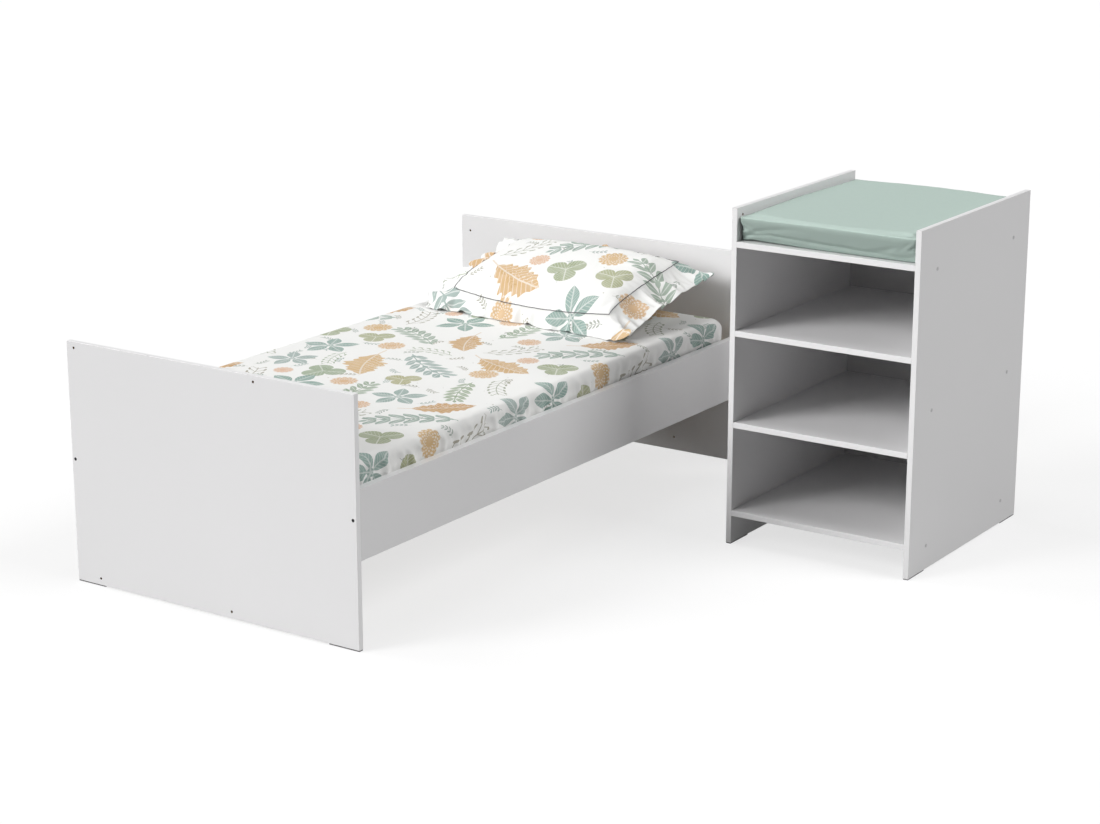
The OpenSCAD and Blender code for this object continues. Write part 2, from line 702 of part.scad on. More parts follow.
// Hardboard back, held on four sides in the grooves
module back_panel() color(board_white) in_frame()
    translate([changer_in_l - groove_d + slide_gap, groove_y + groove_gap, bottom_shelf_z - groove_d + slide_gap])
        cube([changer_in_w + 2 * (groove_d - slide_gap), back_t,
              top_shelf_z - changer_t - bottom_shelf_z + 2 * (groove_d - slide_gap)]);

module cam_bolts() color(steel) in_frame() at_inner_faces() at_cams() cam_bolt();
module cam_locks() color(steel) in_frame() at_inner_faces() at_cams() cam_lock();
module shelf_dowels() color(beech) in_frame() at_inner_faces() at_shelf_dowels() shelf_dowel();
module upper_shelf_pins() color(steel) in_frame() at_inner_faces() at_pins(upper_shelf_z) shelf_pin();
module lower_shelf_pins() color(steel) in_frame() at_inner_faces() at_pins(lower_shelf_z) shelf_pin();

// White plastic caps in the right panel: a thin round head and a stem in the hole
module hole_caps() color(board_white) in_frame()
    for (y = cap_columns, z = cap_rows)
        translate([changer_right, changer_y + y, z]) {
            rod_x(cap_d, cap_t);
            translate([-changer_t / 2, 0, 0]) rod_x(cap_stem - 2 * fit_gap, changer_t / 2 + cap_t / 2);
        }

// ---- Floor glides -----------------------------------------------------------------------------------------

// A thin strip under a panel's end, a hair narrower than the panel, from corner to corner [x, y]
module glide_strip(x, y, w, l) {
    color(glide_grey) in_frame() translate([x, y, 0]) cube([w, l, glide_t]);
}
glide_edge = 1;
module glide(i) {
    if (i < 2)
        glide_strip(i == 0 ? -bed_w / 2 + glide_edge : bed_w / 2 - glide_edge - glide_l,
                    glide_edge, glide_l, board_t - 2 * glide_edge);
    else if (i < 4)
        glide_strip(i == 2 ? -headboard_w / 2 + glide_edge : headboard_w / 2 - glide_edge - glide_l,
                    head_y + glide_edge, glide_l, board_t - 2 * glide_edge);
    else
        glide_strip((i < 6 ? changer_x : changer_in_r) + glide_edge,
                    i % 2 == 0 ? changer_y + glide_edge : changer_y + changer_d - glide_edge - glide_l,
                    changer_t - 2 * glide_edge, glide_l);
}

// ---- Parts ------------------------------------------------------------------------------------------------

footboard();
headboard();
side_rail(-1);  // side_rail_left
side_rail(1);  // side_rail_right
ledger(-1);  // ledger_left
ledger(1);  // ledger_right
for (i = [0:slat_count - 1]) slat(i);
rail_bolts();
cross_nuts();
rail_dowels();
ledger_screws();
slat_screws();
mattress();
pillow();
changer_side(0);  // changer_side_left
changer_side(1);  // changer_side_right
top_shelf();
upper_shelf();
lower_shelf();
bottom_shelf();
back_panel();
cam_bolts();
cam_locks();
shelf_dowels();
upper_shelf_pins();
lower_shelf_pins();
hole_caps();
changing_mat();
for (i = [0:7]) glide(i);
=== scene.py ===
# %% [markdown]
# # A junior bed and its changing unit
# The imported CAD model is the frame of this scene: boards, rails, slats, shelves and every screw come from it and
# only get a finish. The three soft pieces, which CAD can only block out, are modelled here: the mattress in its
# fitted sheet, the pillow in its Oxford case and the foam changing mat in its cover.

# %% Load the frame
import math
import bmesh
import bpy
import numpy as np
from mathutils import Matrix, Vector


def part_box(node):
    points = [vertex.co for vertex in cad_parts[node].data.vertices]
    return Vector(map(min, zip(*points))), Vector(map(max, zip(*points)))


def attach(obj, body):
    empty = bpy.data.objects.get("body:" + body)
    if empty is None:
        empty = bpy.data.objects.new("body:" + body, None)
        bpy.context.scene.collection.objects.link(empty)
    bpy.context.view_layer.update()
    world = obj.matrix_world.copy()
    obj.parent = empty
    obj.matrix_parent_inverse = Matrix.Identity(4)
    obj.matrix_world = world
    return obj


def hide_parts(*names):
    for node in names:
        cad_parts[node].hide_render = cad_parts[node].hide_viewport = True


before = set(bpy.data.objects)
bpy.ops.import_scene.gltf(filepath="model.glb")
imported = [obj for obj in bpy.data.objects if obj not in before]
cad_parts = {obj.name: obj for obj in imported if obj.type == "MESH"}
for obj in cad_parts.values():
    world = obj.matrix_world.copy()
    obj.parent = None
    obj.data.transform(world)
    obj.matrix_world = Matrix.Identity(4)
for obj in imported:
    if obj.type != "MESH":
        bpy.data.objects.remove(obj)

bpy.context.view_layer.update()

# %% [markdown]
# The camera stands where the photographer stood: at the front right, well above the changing unit. Its place and
# its lens were found by fitting corners and edge points of the boards, so a piece that is right in the CAD model
# is right in the picture too.

# %% Camera
IMAGE_WIDTH_PX = 1100
FOCAL_PX = 2543.09
camera_data = bpy.data.cameras.new("camera")
camera_data.sensor_width = 36
camera_data.lens = FOCAL_PX / IMAGE_WIDTH_PX * camera_data.sensor_width
camera_data.clip_end = 100
camera = bpy.data.objects.new("camera", camera_data)
camera.location = (3.77677, -5.58641, 2.27666)
camera.rotation_euler = (math.pi / 2 - 0.274881, 0, 0.593656)
bpy.context.scene.collection.objects.link(camera)
bpy.context.scene.camera = camera
print("lens", round(camera_data.lens, 1), "mm")

# %% [markdown]
# Node trees grow long when every sum is wired by hand. `Value` wraps one socket, and each Python operator on it
# adds the Math node that does the sum, so a mask reads like the formula it is. `Nodes` is one node tree, and its
# `node` method adds any other node from its type, its settings and what goes into its sockets. `Finish` is the
# tree of one material.

# %% Shader maths
class Value:
    """One output socket. Python operators on it add Math nodes."""

    def __init__(self, finish, socket):
        self.finish, self.socket = finish, socket

    def math(self, operation, *others):
        inputs = dict(enumerate((self, *others)))
        return self.finish.node("ShaderNodeMath", {"operation": operation}, inputs)[0]

    def reflected(self, operation, other):
        return self.finish.node("ShaderNodeMath", {"operation": operation}, {0: other, 1: self})[0]

    def __add__(self, other): return self.math("ADD", other)
    def __radd__(self, other): return self.math("ADD", other)
    def __sub__(self, other): return self.math("SUBTRACT", other)
    def __rsub__(self, other): return self.reflected("SUBTRACT", other)
    def __mul__(self, other): return self.math("MULTIPLY", other)
    def __rmul__(self, other): return self.math("MULTIPLY", other)
    def __truediv__(self, other): return self.math("DIVIDE", other)
    def __pow__(self, other): return self.math("POWER", other)
    def __lt__(self, other): return self.math("LESS_THAN", other)
    def __gt__(self, other): return self.math("GREATER_THAN", other)
    def __abs__(self): return self.math("ABSOLUTE")

    def vector(self, operation, *others, **named):
        inputs = {**dict(enumerate((self, *others))), **named}
        return self.finish.node("ShaderNodeVectorMath", {"operation": operation}, inputs)

    def parts(self):
        split = self.finish.node("ShaderNodeSeparateXYZ", inputs={0: self})
        return split[0], split[1], split[2]


class Made:
    """A node that was just made; [n] is its output n as a Value."""

    def __init__(self, finish, node):
        self.finish, self.node = finish, node

    def __getitem__(self, output):
        return Value(self.finish, self.node.outputs[output])


class Nodes:
    """One node tree."""

    def __init__(self, tree):
        self.tree = tree

    def feed(self, socket, value):
        """Link a Value into a socket, or set the socket to a constant."""
        if isinstance(value, Value):
            self.tree.links.new(value.socket, socket)
        elif hasattr(socket.default_value, "__len__") and len(socket.default_value) == 4 and len(value) == 3:
            socket.default_value = (*value, 1)
        else:
            socket.default_value = value

    def node(self, kind, settings=None, inputs=None):
        node = self.tree.nodes.new(kind)
        for name, value in (settings or {}).items():
            setattr(node, name, value)
        for name, value in (inputs or {}).items():
            self.feed(node.inputs[name], value)
        return Made(self, node)


class Finish(Nodes):
    """One material, with its Principled shader as surface."""

    def __init__(self, name, **constants):
        self.material = bpy.data.materials.new(name)
        self.material.use_nodes = True
        super().__init__(self.material.node_tree)
        self.surface = self.tree.nodes["Principled BSDF"]
        self.look(**constants)

    def look(self, **sockets):
        for name, value in sockets.items():
            self.feed(self.surface.inputs[name.replace("_", " ").title().replace("Ior", "IOR")], value)

    def mix(self, below, above, mask):
        blend = {"data_type": "RGBA"}
        return self.node("ShaderNodeMix", blend, {0: mask, 6: below, 7: above})[2]

    def object_coords(self):
        return self.node("ShaderNodeTexCoord")["Object"]

    def noise(self, coords, scale, detail=2, roughness=0.5):
        inputs = {"Vector": coords, "Scale": scale, "Detail": detail, "Roughness": roughness}
        return self.node("ShaderNodeTexNoise", None, inputs)["Fac"]

    def bump(self, height, distance, strength=1.0):
        inputs = {"Height": height, "Distance": distance, "Strength": strength}
        return self.node("ShaderNodeBump", None, inputs)["Normal"]


def finish_node(node_name, finish):
    """Give a CAD node its finish."""
    for material_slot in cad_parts[node_name].material_slots:
        material_slot.material = finish.material


# %% [markdown]
# White melamine is a printed paper foil on chipboard, with a satin, slightly pearled face. The narrow sides carry
# a plastic edge band that is a little whiter and glossier, and only inside the drilled holes does the brown
# chipboard show. One function makes the finish for a board: it finds the thin direction from the board's box, so
# faces, edge bands and hole walls are told apart by the surface normal and by the distance from the outline.

# %% Melamine boards
BOARD_WHITE = (0.79, 0.785, 0.79)
EDGE_WHITE = (0.86, 0.855, 0.86)
CHIPBOARD = (0.20, 0.135, 0.08)
HARDBOARD_WHITE = (0.58, 0.575, 0.58)
EDGE_BAND_DEPTH = 0.0012


def board_finish(name, white=BOARD_WHITE):
    low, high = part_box(name)
    thin = min(range(3), key=lambda axis: high[axis] - low[axis])
    finish = Finish(f"board_{name}", roughness=0.42)
    coords = finish.node("ShaderNodeTexCoord")
    normal = coords["Normal"].parts()
    place = coords["Object"].parts()
    on_side = abs(normal[thin]) < 0.5
    inside = None
    for axis in range(3):
        if axis != thin:
            middle, half = (low[axis] + high[axis]) / 2, (high[axis] - low[axis]) / 2
            clear = abs(place[axis] - middle) < half - EDGE_BAND_DEPTH
            inside = clear if inside is None else inside * clear
    cloud = finish.noise(coords["Object"], 2.2, 3)
    tint = finish.mix(white, tuple(c * 0.965 for c in white), cloud)
    banded = finish.mix(tint, EDGE_WHITE, on_side)
    chips = finish.noise(coords["Object"], 700, 2)
    raw = finish.mix(CHIPBOARD, tuple(c * 2.1 for c in CHIPBOARD), chips)
    core = on_side * inside
    pearl = finish.noise(coords["Object"], 900, 1)
    finish.look(
        base_color=finish.mix(banded, raw, core),
        roughness=0.40 + 0.10 * pearl + 0.4 * core - 0.08 * on_side,
        normal=finish.bump(pearl, 0.00006),
    )
    return finish


boards = ["footboard", "headboard", "side_rail_left", "side_rail_right", "changer_side_left", "changer_side_right"]
boards += ["top_shelf", "upper_shelf", "lower_shelf", "bottom_shelf"]
for name in boards:
    finish_node(name, board_finish(name))
finish_node("back_panel", board_finish("back_panel", HARDBOARD_WHITE))
print(len(boards), "boards in melamine")

# %% [markdown]
# The slats and their ledgers are sawn pine. Grain is growth rings cut lengthwise: rings round a far-off pith,
# stretched along the board and shaken by noise. Each piece gets its own shift, so that no two slats match.

# %% Pine and beech
PINE_LIGHT, PINE_DARK = (0.78, 0.58, 0.36), (0.60, 0.38, 0.19)


def wood_finish(name, light, dark, along, shift, rings=95):
    finish = Finish(f"wood_{name}", roughness=0.6)
    stretch = [1.0, 1.0, 1.0]
    stretch[along] = 0.06
    coords = finish.object_coords().vector("ADD", (shift * 0.37, shift * 0.61, shift * 0.23))[0]
    grain = coords.vector("MULTIPLY", tuple(stretch))[0]
    shake = finish.noise(grain, 9, 2)
    across = [n for n in range(3) if n != along]
    sides = grain.parts()
    wave = (sides[across[0]] * rings + sides[across[1]] * rings * 1.7 + shake * 9).math("SINE")
    fibre = finish.noise(grain, 420, 2)
    tone = wave * 0.22 + fibre * 0.5 + 0.15
    finish.look(
        base_color=finish.mix(light, dark, tone),
        roughness=0.52 + 0.16 * fibre,
        normal=finish.bump(fibre, 0.0002),
    )
    return finish


slats = sorted(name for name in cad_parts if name.startswith("slat_") and name != "slat_screws")
for count, name in enumerate(slats):
    finish_node(name, wood_finish(name, PINE_LIGHT, PINE_DARK, 0, count + 1))
for count, name in enumerate(["ledger_left", "ledger_right"]):
    finish_node(name, wood_finish(name, PINE_LIGHT, PINE_DARK, 1, count + 20))
BEECH_LIGHT, BEECH_DARK = (0.66, 0.42, 0.24), (0.50, 0.29, 0.15)
finish_node("rail_dowels", wood_finish("rail_dowels", BEECH_LIGHT, BEECH_DARK, 1, 30, 240))
finish_node("shelf_dowels", wood_finish("shelf_dowels", BEECH_LIGHT, BEECH_DARK, 0, 31, 240))
print(len(slats), "slats in pine")

# %% [markdown]
# Fittings: the cams, pins and screws are zinc-plated steel, which is bright but mottled, the bolts that show as
# dark dots in the boards are blackened, and the floor glides and hole caps are moulded plastic with the fine
# grain of a spark-eroded tool. The hole caps are white plastic, coloured grey here: this grey is painted shade.

# %% Fittings
def metal_finish(name, colour, rough):
    finish = Finish(name, metallic=1.0)
    mottle = finish.noise(finish.object_coords(), 260, 3)
    finish.look(
        base_color=finish.mix(colour, tuple(c * 0.72 for c in colour), mottle),
        roughness=rough + 0.18 * mottle,
    )
    return finish


def plastic_finish(name, colour, rough):
    finish = Finish(name)
    grain = finish.noise(finish.object_coords(), 1500, 2)
    finish.look(
        base_color=finish.mix(colour, tuple(c * 0.85 for c in colour), grain),
        roughness=rough + 0.12 * grain,
        normal=finish.bump(grain, 0.00008),
    )
    return finish


zinc = metal_finish("zinc", (0.62, 0.63, 0.65), 0.28)
black_steel = metal_finish("black_steel", (0.055, 0.055, 0.06), 0.38)
glide_plastic = plastic_finish("glide_plastic", (0.10, 0.095, 0.10), 0.55)
# The hole caps are white plastic; their grey colour is painted shade for the slight shadow they sit in.
cap_plastic = plastic_finish("cap_plastic", (0.62, 0.61, 0.62), 0.42)
zinc_plated = ["cross_nuts", "ledger_screws", "slat_screws", "cam_bolts", "cam_locks"]
zinc_plated += ["upper_shelf_pins", "lower_shelf_pins"]
for name in zinc_plated:
    finish_node(name, zinc)
finish_node("rail_bolts", black_steel)
finish_node("hole_caps", cap_plastic)
for count in range(8):
    finish_node(f"glide_{count + 1}", glide_plastic)

# %% [markdown]
# Bedding is cloth round a filling, so its meshes are made like cloth: one grid of cells for the upper side,
# extruded to get the lower side, with the rim between them cut into levels. The vertices then hold plain
# parameters (u and v across the grid, w from 0 at the foot to 1 at the top) that a formula turns into a shape.
# A UV map in metres, measured along the cloth and not along the room, keeps the print from stretching.

# %% Helpers for soft pieces
def pad_grid(columns, rows, levels):
    """A closed pad whose vertices hold (u, v, w); u and v run from -1 to 1. With more than one level,
    subdividing numbers its new vertices in another order each run."""
    pad = bmesh.new()
    bmesh.ops.create_grid(pad, x_segments=columns, y_segments=rows, size=1)
    bmesh.ops.reverse_faces(pad, faces=pad.faces)
    grown = bmesh.ops.extrude_face_region(pad, geom=pad.faces[:])
    upper = [part for part in grown["geom"] if isinstance(part, bmesh.types.BMVert)]
    bmesh.ops.translate(pad, verts=upper, vec=(0, 0, 1))
    if levels > 1:
        rim = [edge for edge in pad.edges if abs(edge.verts[0].co.z - edge.verts[1].co.z) > 0.5]
        bmesh.ops.subdivide_edges(pad, edges=rim, cuts=levels - 1, use_grid_fill=True)
    bmesh.ops.recalc_face_normals(pad, faces=pad.faces)
    return pad


def soft_piece(name, mesh, finish, body):
    for polygon in mesh.polygons:
        polygon.use_smooth = True
    made = bpy.data.objects.new(name, mesh)
    made.data.materials.append(finish.material)
    bpy.context.scene.collection.objects.link(made)
    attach(made, body)
    return made


def read_points(mesh):
    points = np.empty(len(mesh.vertices) * 3)
    mesh.vertices.foreach_get("co", points)
    return points.reshape(-1, 3)


def write_points(mesh, points):
    mesh.vertices.foreach_set("co", points.astype(np.float32).ravel())
    mesh.update()


def write_cloth_map(mesh, cloth):
    """A UV map in metres of cloth, one place for each vertex."""
    corners = np.empty(len(mesh.loops), dtype=np.int32)
    mesh.loops.foreach_get("vertex_index", corners)
    layer = mesh.uv_layers.new(name="cloth")
    layer.data.foreach_set("uv", cloth[corners].astype(np.float32).ravel())


def slab(param, size, corner, roll, foot_roll, height):
    """Turn (u, v, w) into a block with rolled rims. Also gives each point's cloth place, outward direction
    and drop below the upper rim."""
    half = np.array(size) / 2
    u, w = param[:, :2], param[:, 2]
    upper = w > 0.999
    lower = w < 0.001
    wall = height - roll - foot_roll
    turn = np.where(upper, roll, foot_roll)[:, None]
    arc_corner = corner - turn + turn * np.pi / 2
    flat = half - corner
    reach = np.abs(u) * (flat + arc_corner)
    side = np.sign(u) + (u == 0)
    past = np.clip((reach - flat) / arc_corner, 0, 1)
    square = past * np.sqrt(1 - past[:, ::-1] ** 2 / 2)
    rho = np.linalg.norm(square, axis=1, keepdims=True)
    away = np.where(rho > 1e-9, square / np.maximum(rho, 1e-9), 0)
    along = rho * arc_corner
    bend = np.clip((along - (corner - turn)) / turn, 0, np.pi / 2)
    reach_out = np.where(along < corner - turn, along, corner - turn + turn * np.sin(bend))
    drop = (turn * (1 - np.cos(bend)))[:, 0]
    base = np.minimum(reach, flat)
    place = side * (base + away * reach_out)
    height_now = np.where(upper, height - drop, np.where(lower, drop, foot_roll + w * wall))
    out = side * away
    arc_upper = corner - roll + roll * np.pi / 2
    depth = np.where(upper, along[:, 0], arc_upper + (1 - w) * wall)
    depth = np.where(lower, arc_upper + wall + arc_corner[:, 0] - along[:, 0], depth)
    cloth = side * (base + away * depth[:, None])
    return np.column_stack((place, height_now)), cloth, out, depth - arc_upper


def shape_slab(name, grid, low, high, corner, roll, foot_roll, crown=0.0, crowd=(0, 0)):
    """The grid as a block with rolled rims between two corners of the room, crowned on top. `crowd` moves the
    grid's columns and rows towards the rim."""
    mesh = bpy.data.meshes.new(name)
    grid.to_mesh(mesh)
    grid.free()
    param = read_points(mesh)
    param[:, :2] *= 1 + np.array(crowd) * (1 - param[:, :2] ** 2)
    low, high = np.array(low), np.array(high)
    place, cloth, out, drop = slab(param, (high - low)[:2], corner, roll, foot_roll, high[2] - low[2] - crown)
    swell = (1 - param[:, 0] ** 2) * (1 - param[:, 1] ** 2)
    place[:, 2] += np.where(param[:, 2] > 0.999, crown * np.sqrt(np.clip(swell, 0, 1)), 0)
    place += [*(low + high)[:2] / 2, low[2]]
    write_points(mesh, place)
    return mesh, param, cloth, out, drop


# %% [markdown]
# The bedding is printed cotton: loose leaves, sprigs and round blooms in ochre, sage and teal on white. The print
# is one repeat, 0.8 m square, that tiles the cloth. Each kind of motif is drawn once, by formulas for leaves and
# discs, in a space of its own where it lies along x from -1 to 1. `motif_space` folds the cloth into that space:
# for every place in the list it moves, wraps and turns the cloth's coordinates, and it keeps the result only
# within the motif's radius. A place takes some eight nodes, and the drawing serves all the places of its kind.

# %% Layout of the print
PRINT_REPEAT = 0.80
FAR = 9.0
PLACES = {
    "frond": [(0.692, 0.684, 292, 0.150), (0.209, 0.062, 341, 0.140), (0.788, 0.229, 293, 0.125),
              (0.327, 0.414, 42, 0.115)],
    "rosette": [(0.651, 0.398, 89, 0.098), (0.479, 0.774, 42, 0.090), (0.178, 0.440, 260, 0.085),
                (0.484, 0.598, 268, 0.080)],
    "branch": [(0.044, 0.743, 327, 0.150), (0.337, 0.289, 218, 0.140), (0.627, 0.199, 151, 0.130),
               (0.044, 0.405, 90, 0.120), (0.286, 0.578, 291, 0.110)],
    "lobed": [(0.644, 0.537, 137, 0.080), (0.367, 0.118, 58, 0.075), (0.528, 0.125, 175, 0.070),
              (0.083, 0.586, 296, 0.065)],
    "sprig": [(0.498, 0.383, 102, 0.100), (0.153, 0.205, 53, 0.095), (0.342, 0.676, 297, 0.090),
              (0.772, 0.076, 180, 0.080), (0.579, 0.671, 285, 0.075)],
    "bloom": [(0.461, 0.221, 91, 0.052), (0.233, 0.755, 25, 0.050), (0.630, 0.066, 41, 0.048),
              (0.759, 0.485, 346, 0.046), (0.135, 0.319, 74, 0.042), (0.250, 0.145, 279, 0.038),
              (0.545, 0.486, 136, 0.034)],
}


def motif_space(finish, cloth, places):
    """x, y and tone (0 to 1) in a motif's own space; FAR off between the places."""
    reach = PRINT_REPEAT / 2
    total = None
    for count, (x, y, turn, size) in enumerate(places):
        near = cloth.vector("SUBTRACT", (x, y, 0))[0].vector("WRAP", (reach, reach, 1), (-reach, -reach, -1))[0]
        inside = near.vector("LENGTH")["Value"] < size
        turned = finish.node("ShaderNodeVectorRotate", {"rotation_type": "Z_AXIS"},
                             {"Vector": near, "Angle": -math.radians(turn)})[0]
        tone = count / max(len(places) - 1, 1)
        local = turned.vector("MULTIPLY_ADD", (1 / size, 1 / size, 0), (-FAR, -FAR, tone))[0]
        kept = local.vector("SCALE", Scale=inside)[0]
        total = kept if total is None else total.vector("ADD", kept)[0]
    return total.vector("ADD", (FAR, FAR, 0))[0].parts()


print(sum(len(places) for places in PLACES.values()), "motifs in a repeat of", PRINT_REPEAT, "m")

# %% [markdown]
# Every motif is a mask: 1 where ink lies, 0 elsewhere. Helpers draw what the motifs share, such as a pointed leaf,
# a line, a stem whose two sides are folded into pairs of twigs, and petals folded onto one. Each drawing gives its
# mask, a tone from the place it stands at, the two inks that the tone mixes, and a mask of what is paler.

# %% Motifs
OCHRE, DEEP_OCHRE = (0.60, 0.385, 0.155), (0.52, 0.285, 0.085)
TEAL, GREY_TEAL = (0.17, 0.30, 0.255), (0.27, 0.36, 0.335)
SAGE, OLIVE = (0.27, 0.35, 0.22), (0.37, 0.36, 0.17)
STEM = (0.34, 0.315, 0.25)
PEACH = (0.66, 0.40, 0.25)


def leaf_mask(along, across, start, end, half_width):
    """1 inside a pointed leaf between start and end."""
    share = (along - start) / (end - start)
    return abs(across) < (share * math.pi).math("SINE") * half_width


def line_mask(across, half_width):
    return abs(across) < half_width


def polar(x, y):
    return (x * x + y * y).math("SQRT"), y.math("ARCTAN2", x)


def petal_space(radius, angle, petals):
    """Distance along and across the nearest of some petals set round a centre."""
    turn = 2 * math.pi / petals
    folded = ((angle / turn + 0.5).math("FRACT") - 0.5) * turn
    return radius * folded.math("COSINE"), radius * folded.math("SINE")


def paired(x, y, pitch, lean):
    """Fold a stem's two sides into pairs: distance along and across the twig of a pair, and where it springs."""
    height = abs(y)
    foot = x - height * (1 / math.tan(lean))
    offset = ((foot / pitch).math("FRACT") - 0.5) * pitch
    return height * (1 / math.sin(lean)), offset * math.sin(lean), foot - offset


def draw_frond(finish, cloth):
    x, y, tone = motif_space(finish, cloth, PLACES["frond"])
    y = y - x * x * 0.16 + 0.06
    ragged = (x * 34).math("SINE") * 0.045 + (x * 13).math("SINE") * 0.05 + 0.36
    body = leaf_mask(x, y, -0.62, 0.92, ragged)
    stem = line_mask(y, 0.018) * (abs(x + 0.72) < 0.2)
    veins = ((x - abs(y) * 0.9) * 7.5).math("FRACT") < 0.13
    rib = line_mask(y, 0.016)
    dots = finish.node("ShaderNodeTexVoronoi", None, {"Vector": cloth, "Scale": 130.0})["Distance"] < 0.28
    pale = (veins + rib).math("MINIMUM", 1) * 0.55 + dots * (y > 0.03) * 0.5
    return body + stem, tone, OCHRE, DEEP_OCHRE, pale


def draw_rosette(finish, cloth):
    x, y, tone = motif_space(finish, cloth, PLACES["rosette"])
    radius, angle = polar(x, y)
    along, across = petal_space(radius, angle, 5)
    body = leaf_mask(along, across, 0.08, 0.96, 0.235)
    centre = radius < 0.12
    veins = ((along - abs(across) * 0.9) * 9).math("FRACT") < 0.14
    rib = line_mask(across, 0.022)
    return (body + centre).math("MINIMUM", 1), tone, TEAL, GREY_TEAL, (veins + rib).math("MINIMUM", 1) * 0.5


def draw_branch(finish, cloth):
    x, y, tone = motif_space(finish, cloth, PLACES["branch"])
    y = y - x * x * 0.14 + 0.05
    along, across, foot = paired(x, y, 0.27, math.radians(50))
    reach = 0.44 - foot * foot * 0.26
    share = along / reach
    body = (abs(across) < (share * math.pi).math("SINE") * 0.088) * (share < 1) * (abs(foot) < 0.80)
    tip = leaf_mask(x, y, 0.80, 1.0, 0.05)
    stem = line_mask(y, 0.012) * (abs(x) < 0.86)
    rib = line_mask(across, 0.012) * (along > 0.03)
    return (body + tip + stem).math("MINIMUM", 1), tone, GREY_TEAL, SAGE, rib * 0.5


def draw_lobed(finish, cloth):
    x, y, tone = motif_space(finish, cloth, PLACES["lobed"])
    radius, angle = polar(x, y)
    lobes = abs((angle * 1.5).math("COSINE"))
    body = radius < lobes ** 0.6 * 0.48 + 0.34
    along, across = petal_space(radius, angle, 3)
    veins = ((along - abs(across) * 1.1) * 6).math("FRACT") < 0.13
    rib = line_mask(across, 0.025)
    return body, tone, SAGE, OLIVE, (veins + rib).math("MINIMUM", 1) * 0.55


def draw_sprig(finish, cloth):
    x, y, tone = motif_space(finish, cloth, PLACES["sprig"])
    y = y - x * x * 0.22 + 0.08
    along, across, foot = paired(x, y, 0.30, math.radians(42))
    kept = abs(foot) < 0.78
    berry = ((across * across + (along - 0.36) * (along - 0.36)).math("SQRT") < 0.062) * kept
    twig = line_mask(across, 0.012) * (along < 0.32) * kept
    stem = line_mask(y, 0.014) * (abs(x) < 0.88)
    return (berry + twig + stem).math("MINIMUM", 1), tone, STEM, SAGE, berry * 0.0


def draw_bloom(finish, cloth):
    x, y, tone = motif_space(finish, cloth, PLACES["bloom"])
    radius, angle = polar(x, y)
    body = radius < (angle * 13).math("COSINE") * 0.06 + 0.82
    rings = (radius * 24).math("SINE") * (angle * 13).math("COSINE") > 0.25
    return body, tone, OCHRE, PEACH, rings * 0.6 * (radius > 0.25)


SCATTER = 9.5
SCATTER_REACH = 0.030


def draw_scatter(finish, cloth):
    """Small sprigs between the motifs, one in most cells of a Voronoi pattern, each turned its own way."""
    flat = {"voronoi_dimensions": "2D"}
    cells = finish.node("ShaderNodeTexVoronoi", flat, {"Vector": cloth, "Scale": SCATTER, "Randomness": 0.75})
    luck = cells["Color"].parts()
    near = cloth.vector("SUBTRACT", cells["Position"])[0]
    turned = finish.node("ShaderNodeVectorRotate", {"rotation_type": "Z_AXIS"},
                         {"Vector": near, "Angle": luck[0] * 6.28})[0]
    x, y = turned.vector("SCALE", Scale=1 / SCATTER_REACH)[0].parts()[:2]
    y = y - x * x * 0.25 + 0.1
    along, across, foot = paired(x, y, 0.38, math.radians(48))
    leaves = leaf_mask(along, across, 0.02, 0.44, 0.085) * (abs(foot) < 0.72) * (along < 0.44)
    stem = line_mask(y, 0.022) * (abs(x) < 0.9)
    return (leaves + stem).math("MINIMUM", 1) * (luck[1] > 0.30), luck[2], GREY_TEAL, STEM, stem * 0.0


# %% [markdown]
# The cotton lays the motifs over each other, from the small scattered sprigs to the blooms. A slow noise washes
# the ink out a little, and the threads of the weave only raise the surface.

# %% Printed cotton
THREAD = 0.0009
COTTON_WHITE = (0.83, 0.83, 0.815)
cotton = Finish("printed_cotton", roughness=0.8)
cloth_place = cotton.node("ShaderNodeUVMap", {"uv_map": "cloth"})[0]
specks = cotton.node("ShaderNodeTexVoronoi", None, {"Vector": cloth_place, "Scale": 21.0, "Randomness": 1.0})
speckle = (specks["Distance"] < 0.055) * (specks["Color"].parts()[0] > 0.45)
printed = cotton.mix(COTTON_WHITE, STEM, speckle * 0.6)
wash = cotton.noise(cloth_place, 26, 3)
for draw_motif in (draw_scatter, draw_sprig, draw_branch, draw_lobed, draw_rosette, draw_frond, draw_bloom):
    mask, tone, first, second, pale = draw_motif(cotton, cloth_place)
    ink = cotton.mix(first, second, tone)
    ink = cotton.mix(ink, COTTON_WHITE, pale)
    printed = cotton.mix(printed, ink, mask.math("MINIMUM", 1) * (0.70 + 0.30 * wash))
threads = cloth_place.vector("SCALE", Scale=2 * math.pi / THREAD)[0].parts()
weave = threads[0].math("SINE") * threads[1].math("SINE") * 0.5 + 0.5
slub = cotton.noise(cloth_place.vector("MULTIPLY", (1, 0.12, 1))[0], 700, 1)
cotton.look(base_color=printed, roughness=0.74 + 0.12 * slub, normal=cotton.bump(weave + slub * 0.6, 0.00012, 0.6))
print("cotton print:", len(cotton.tree.nodes), "nodes")

# %% [markdown]
# The mattress is a foam core in striped ticking. The fitted sheet hides most of it, but from below, between the
# slats, the core shows inside the sheet's hem.

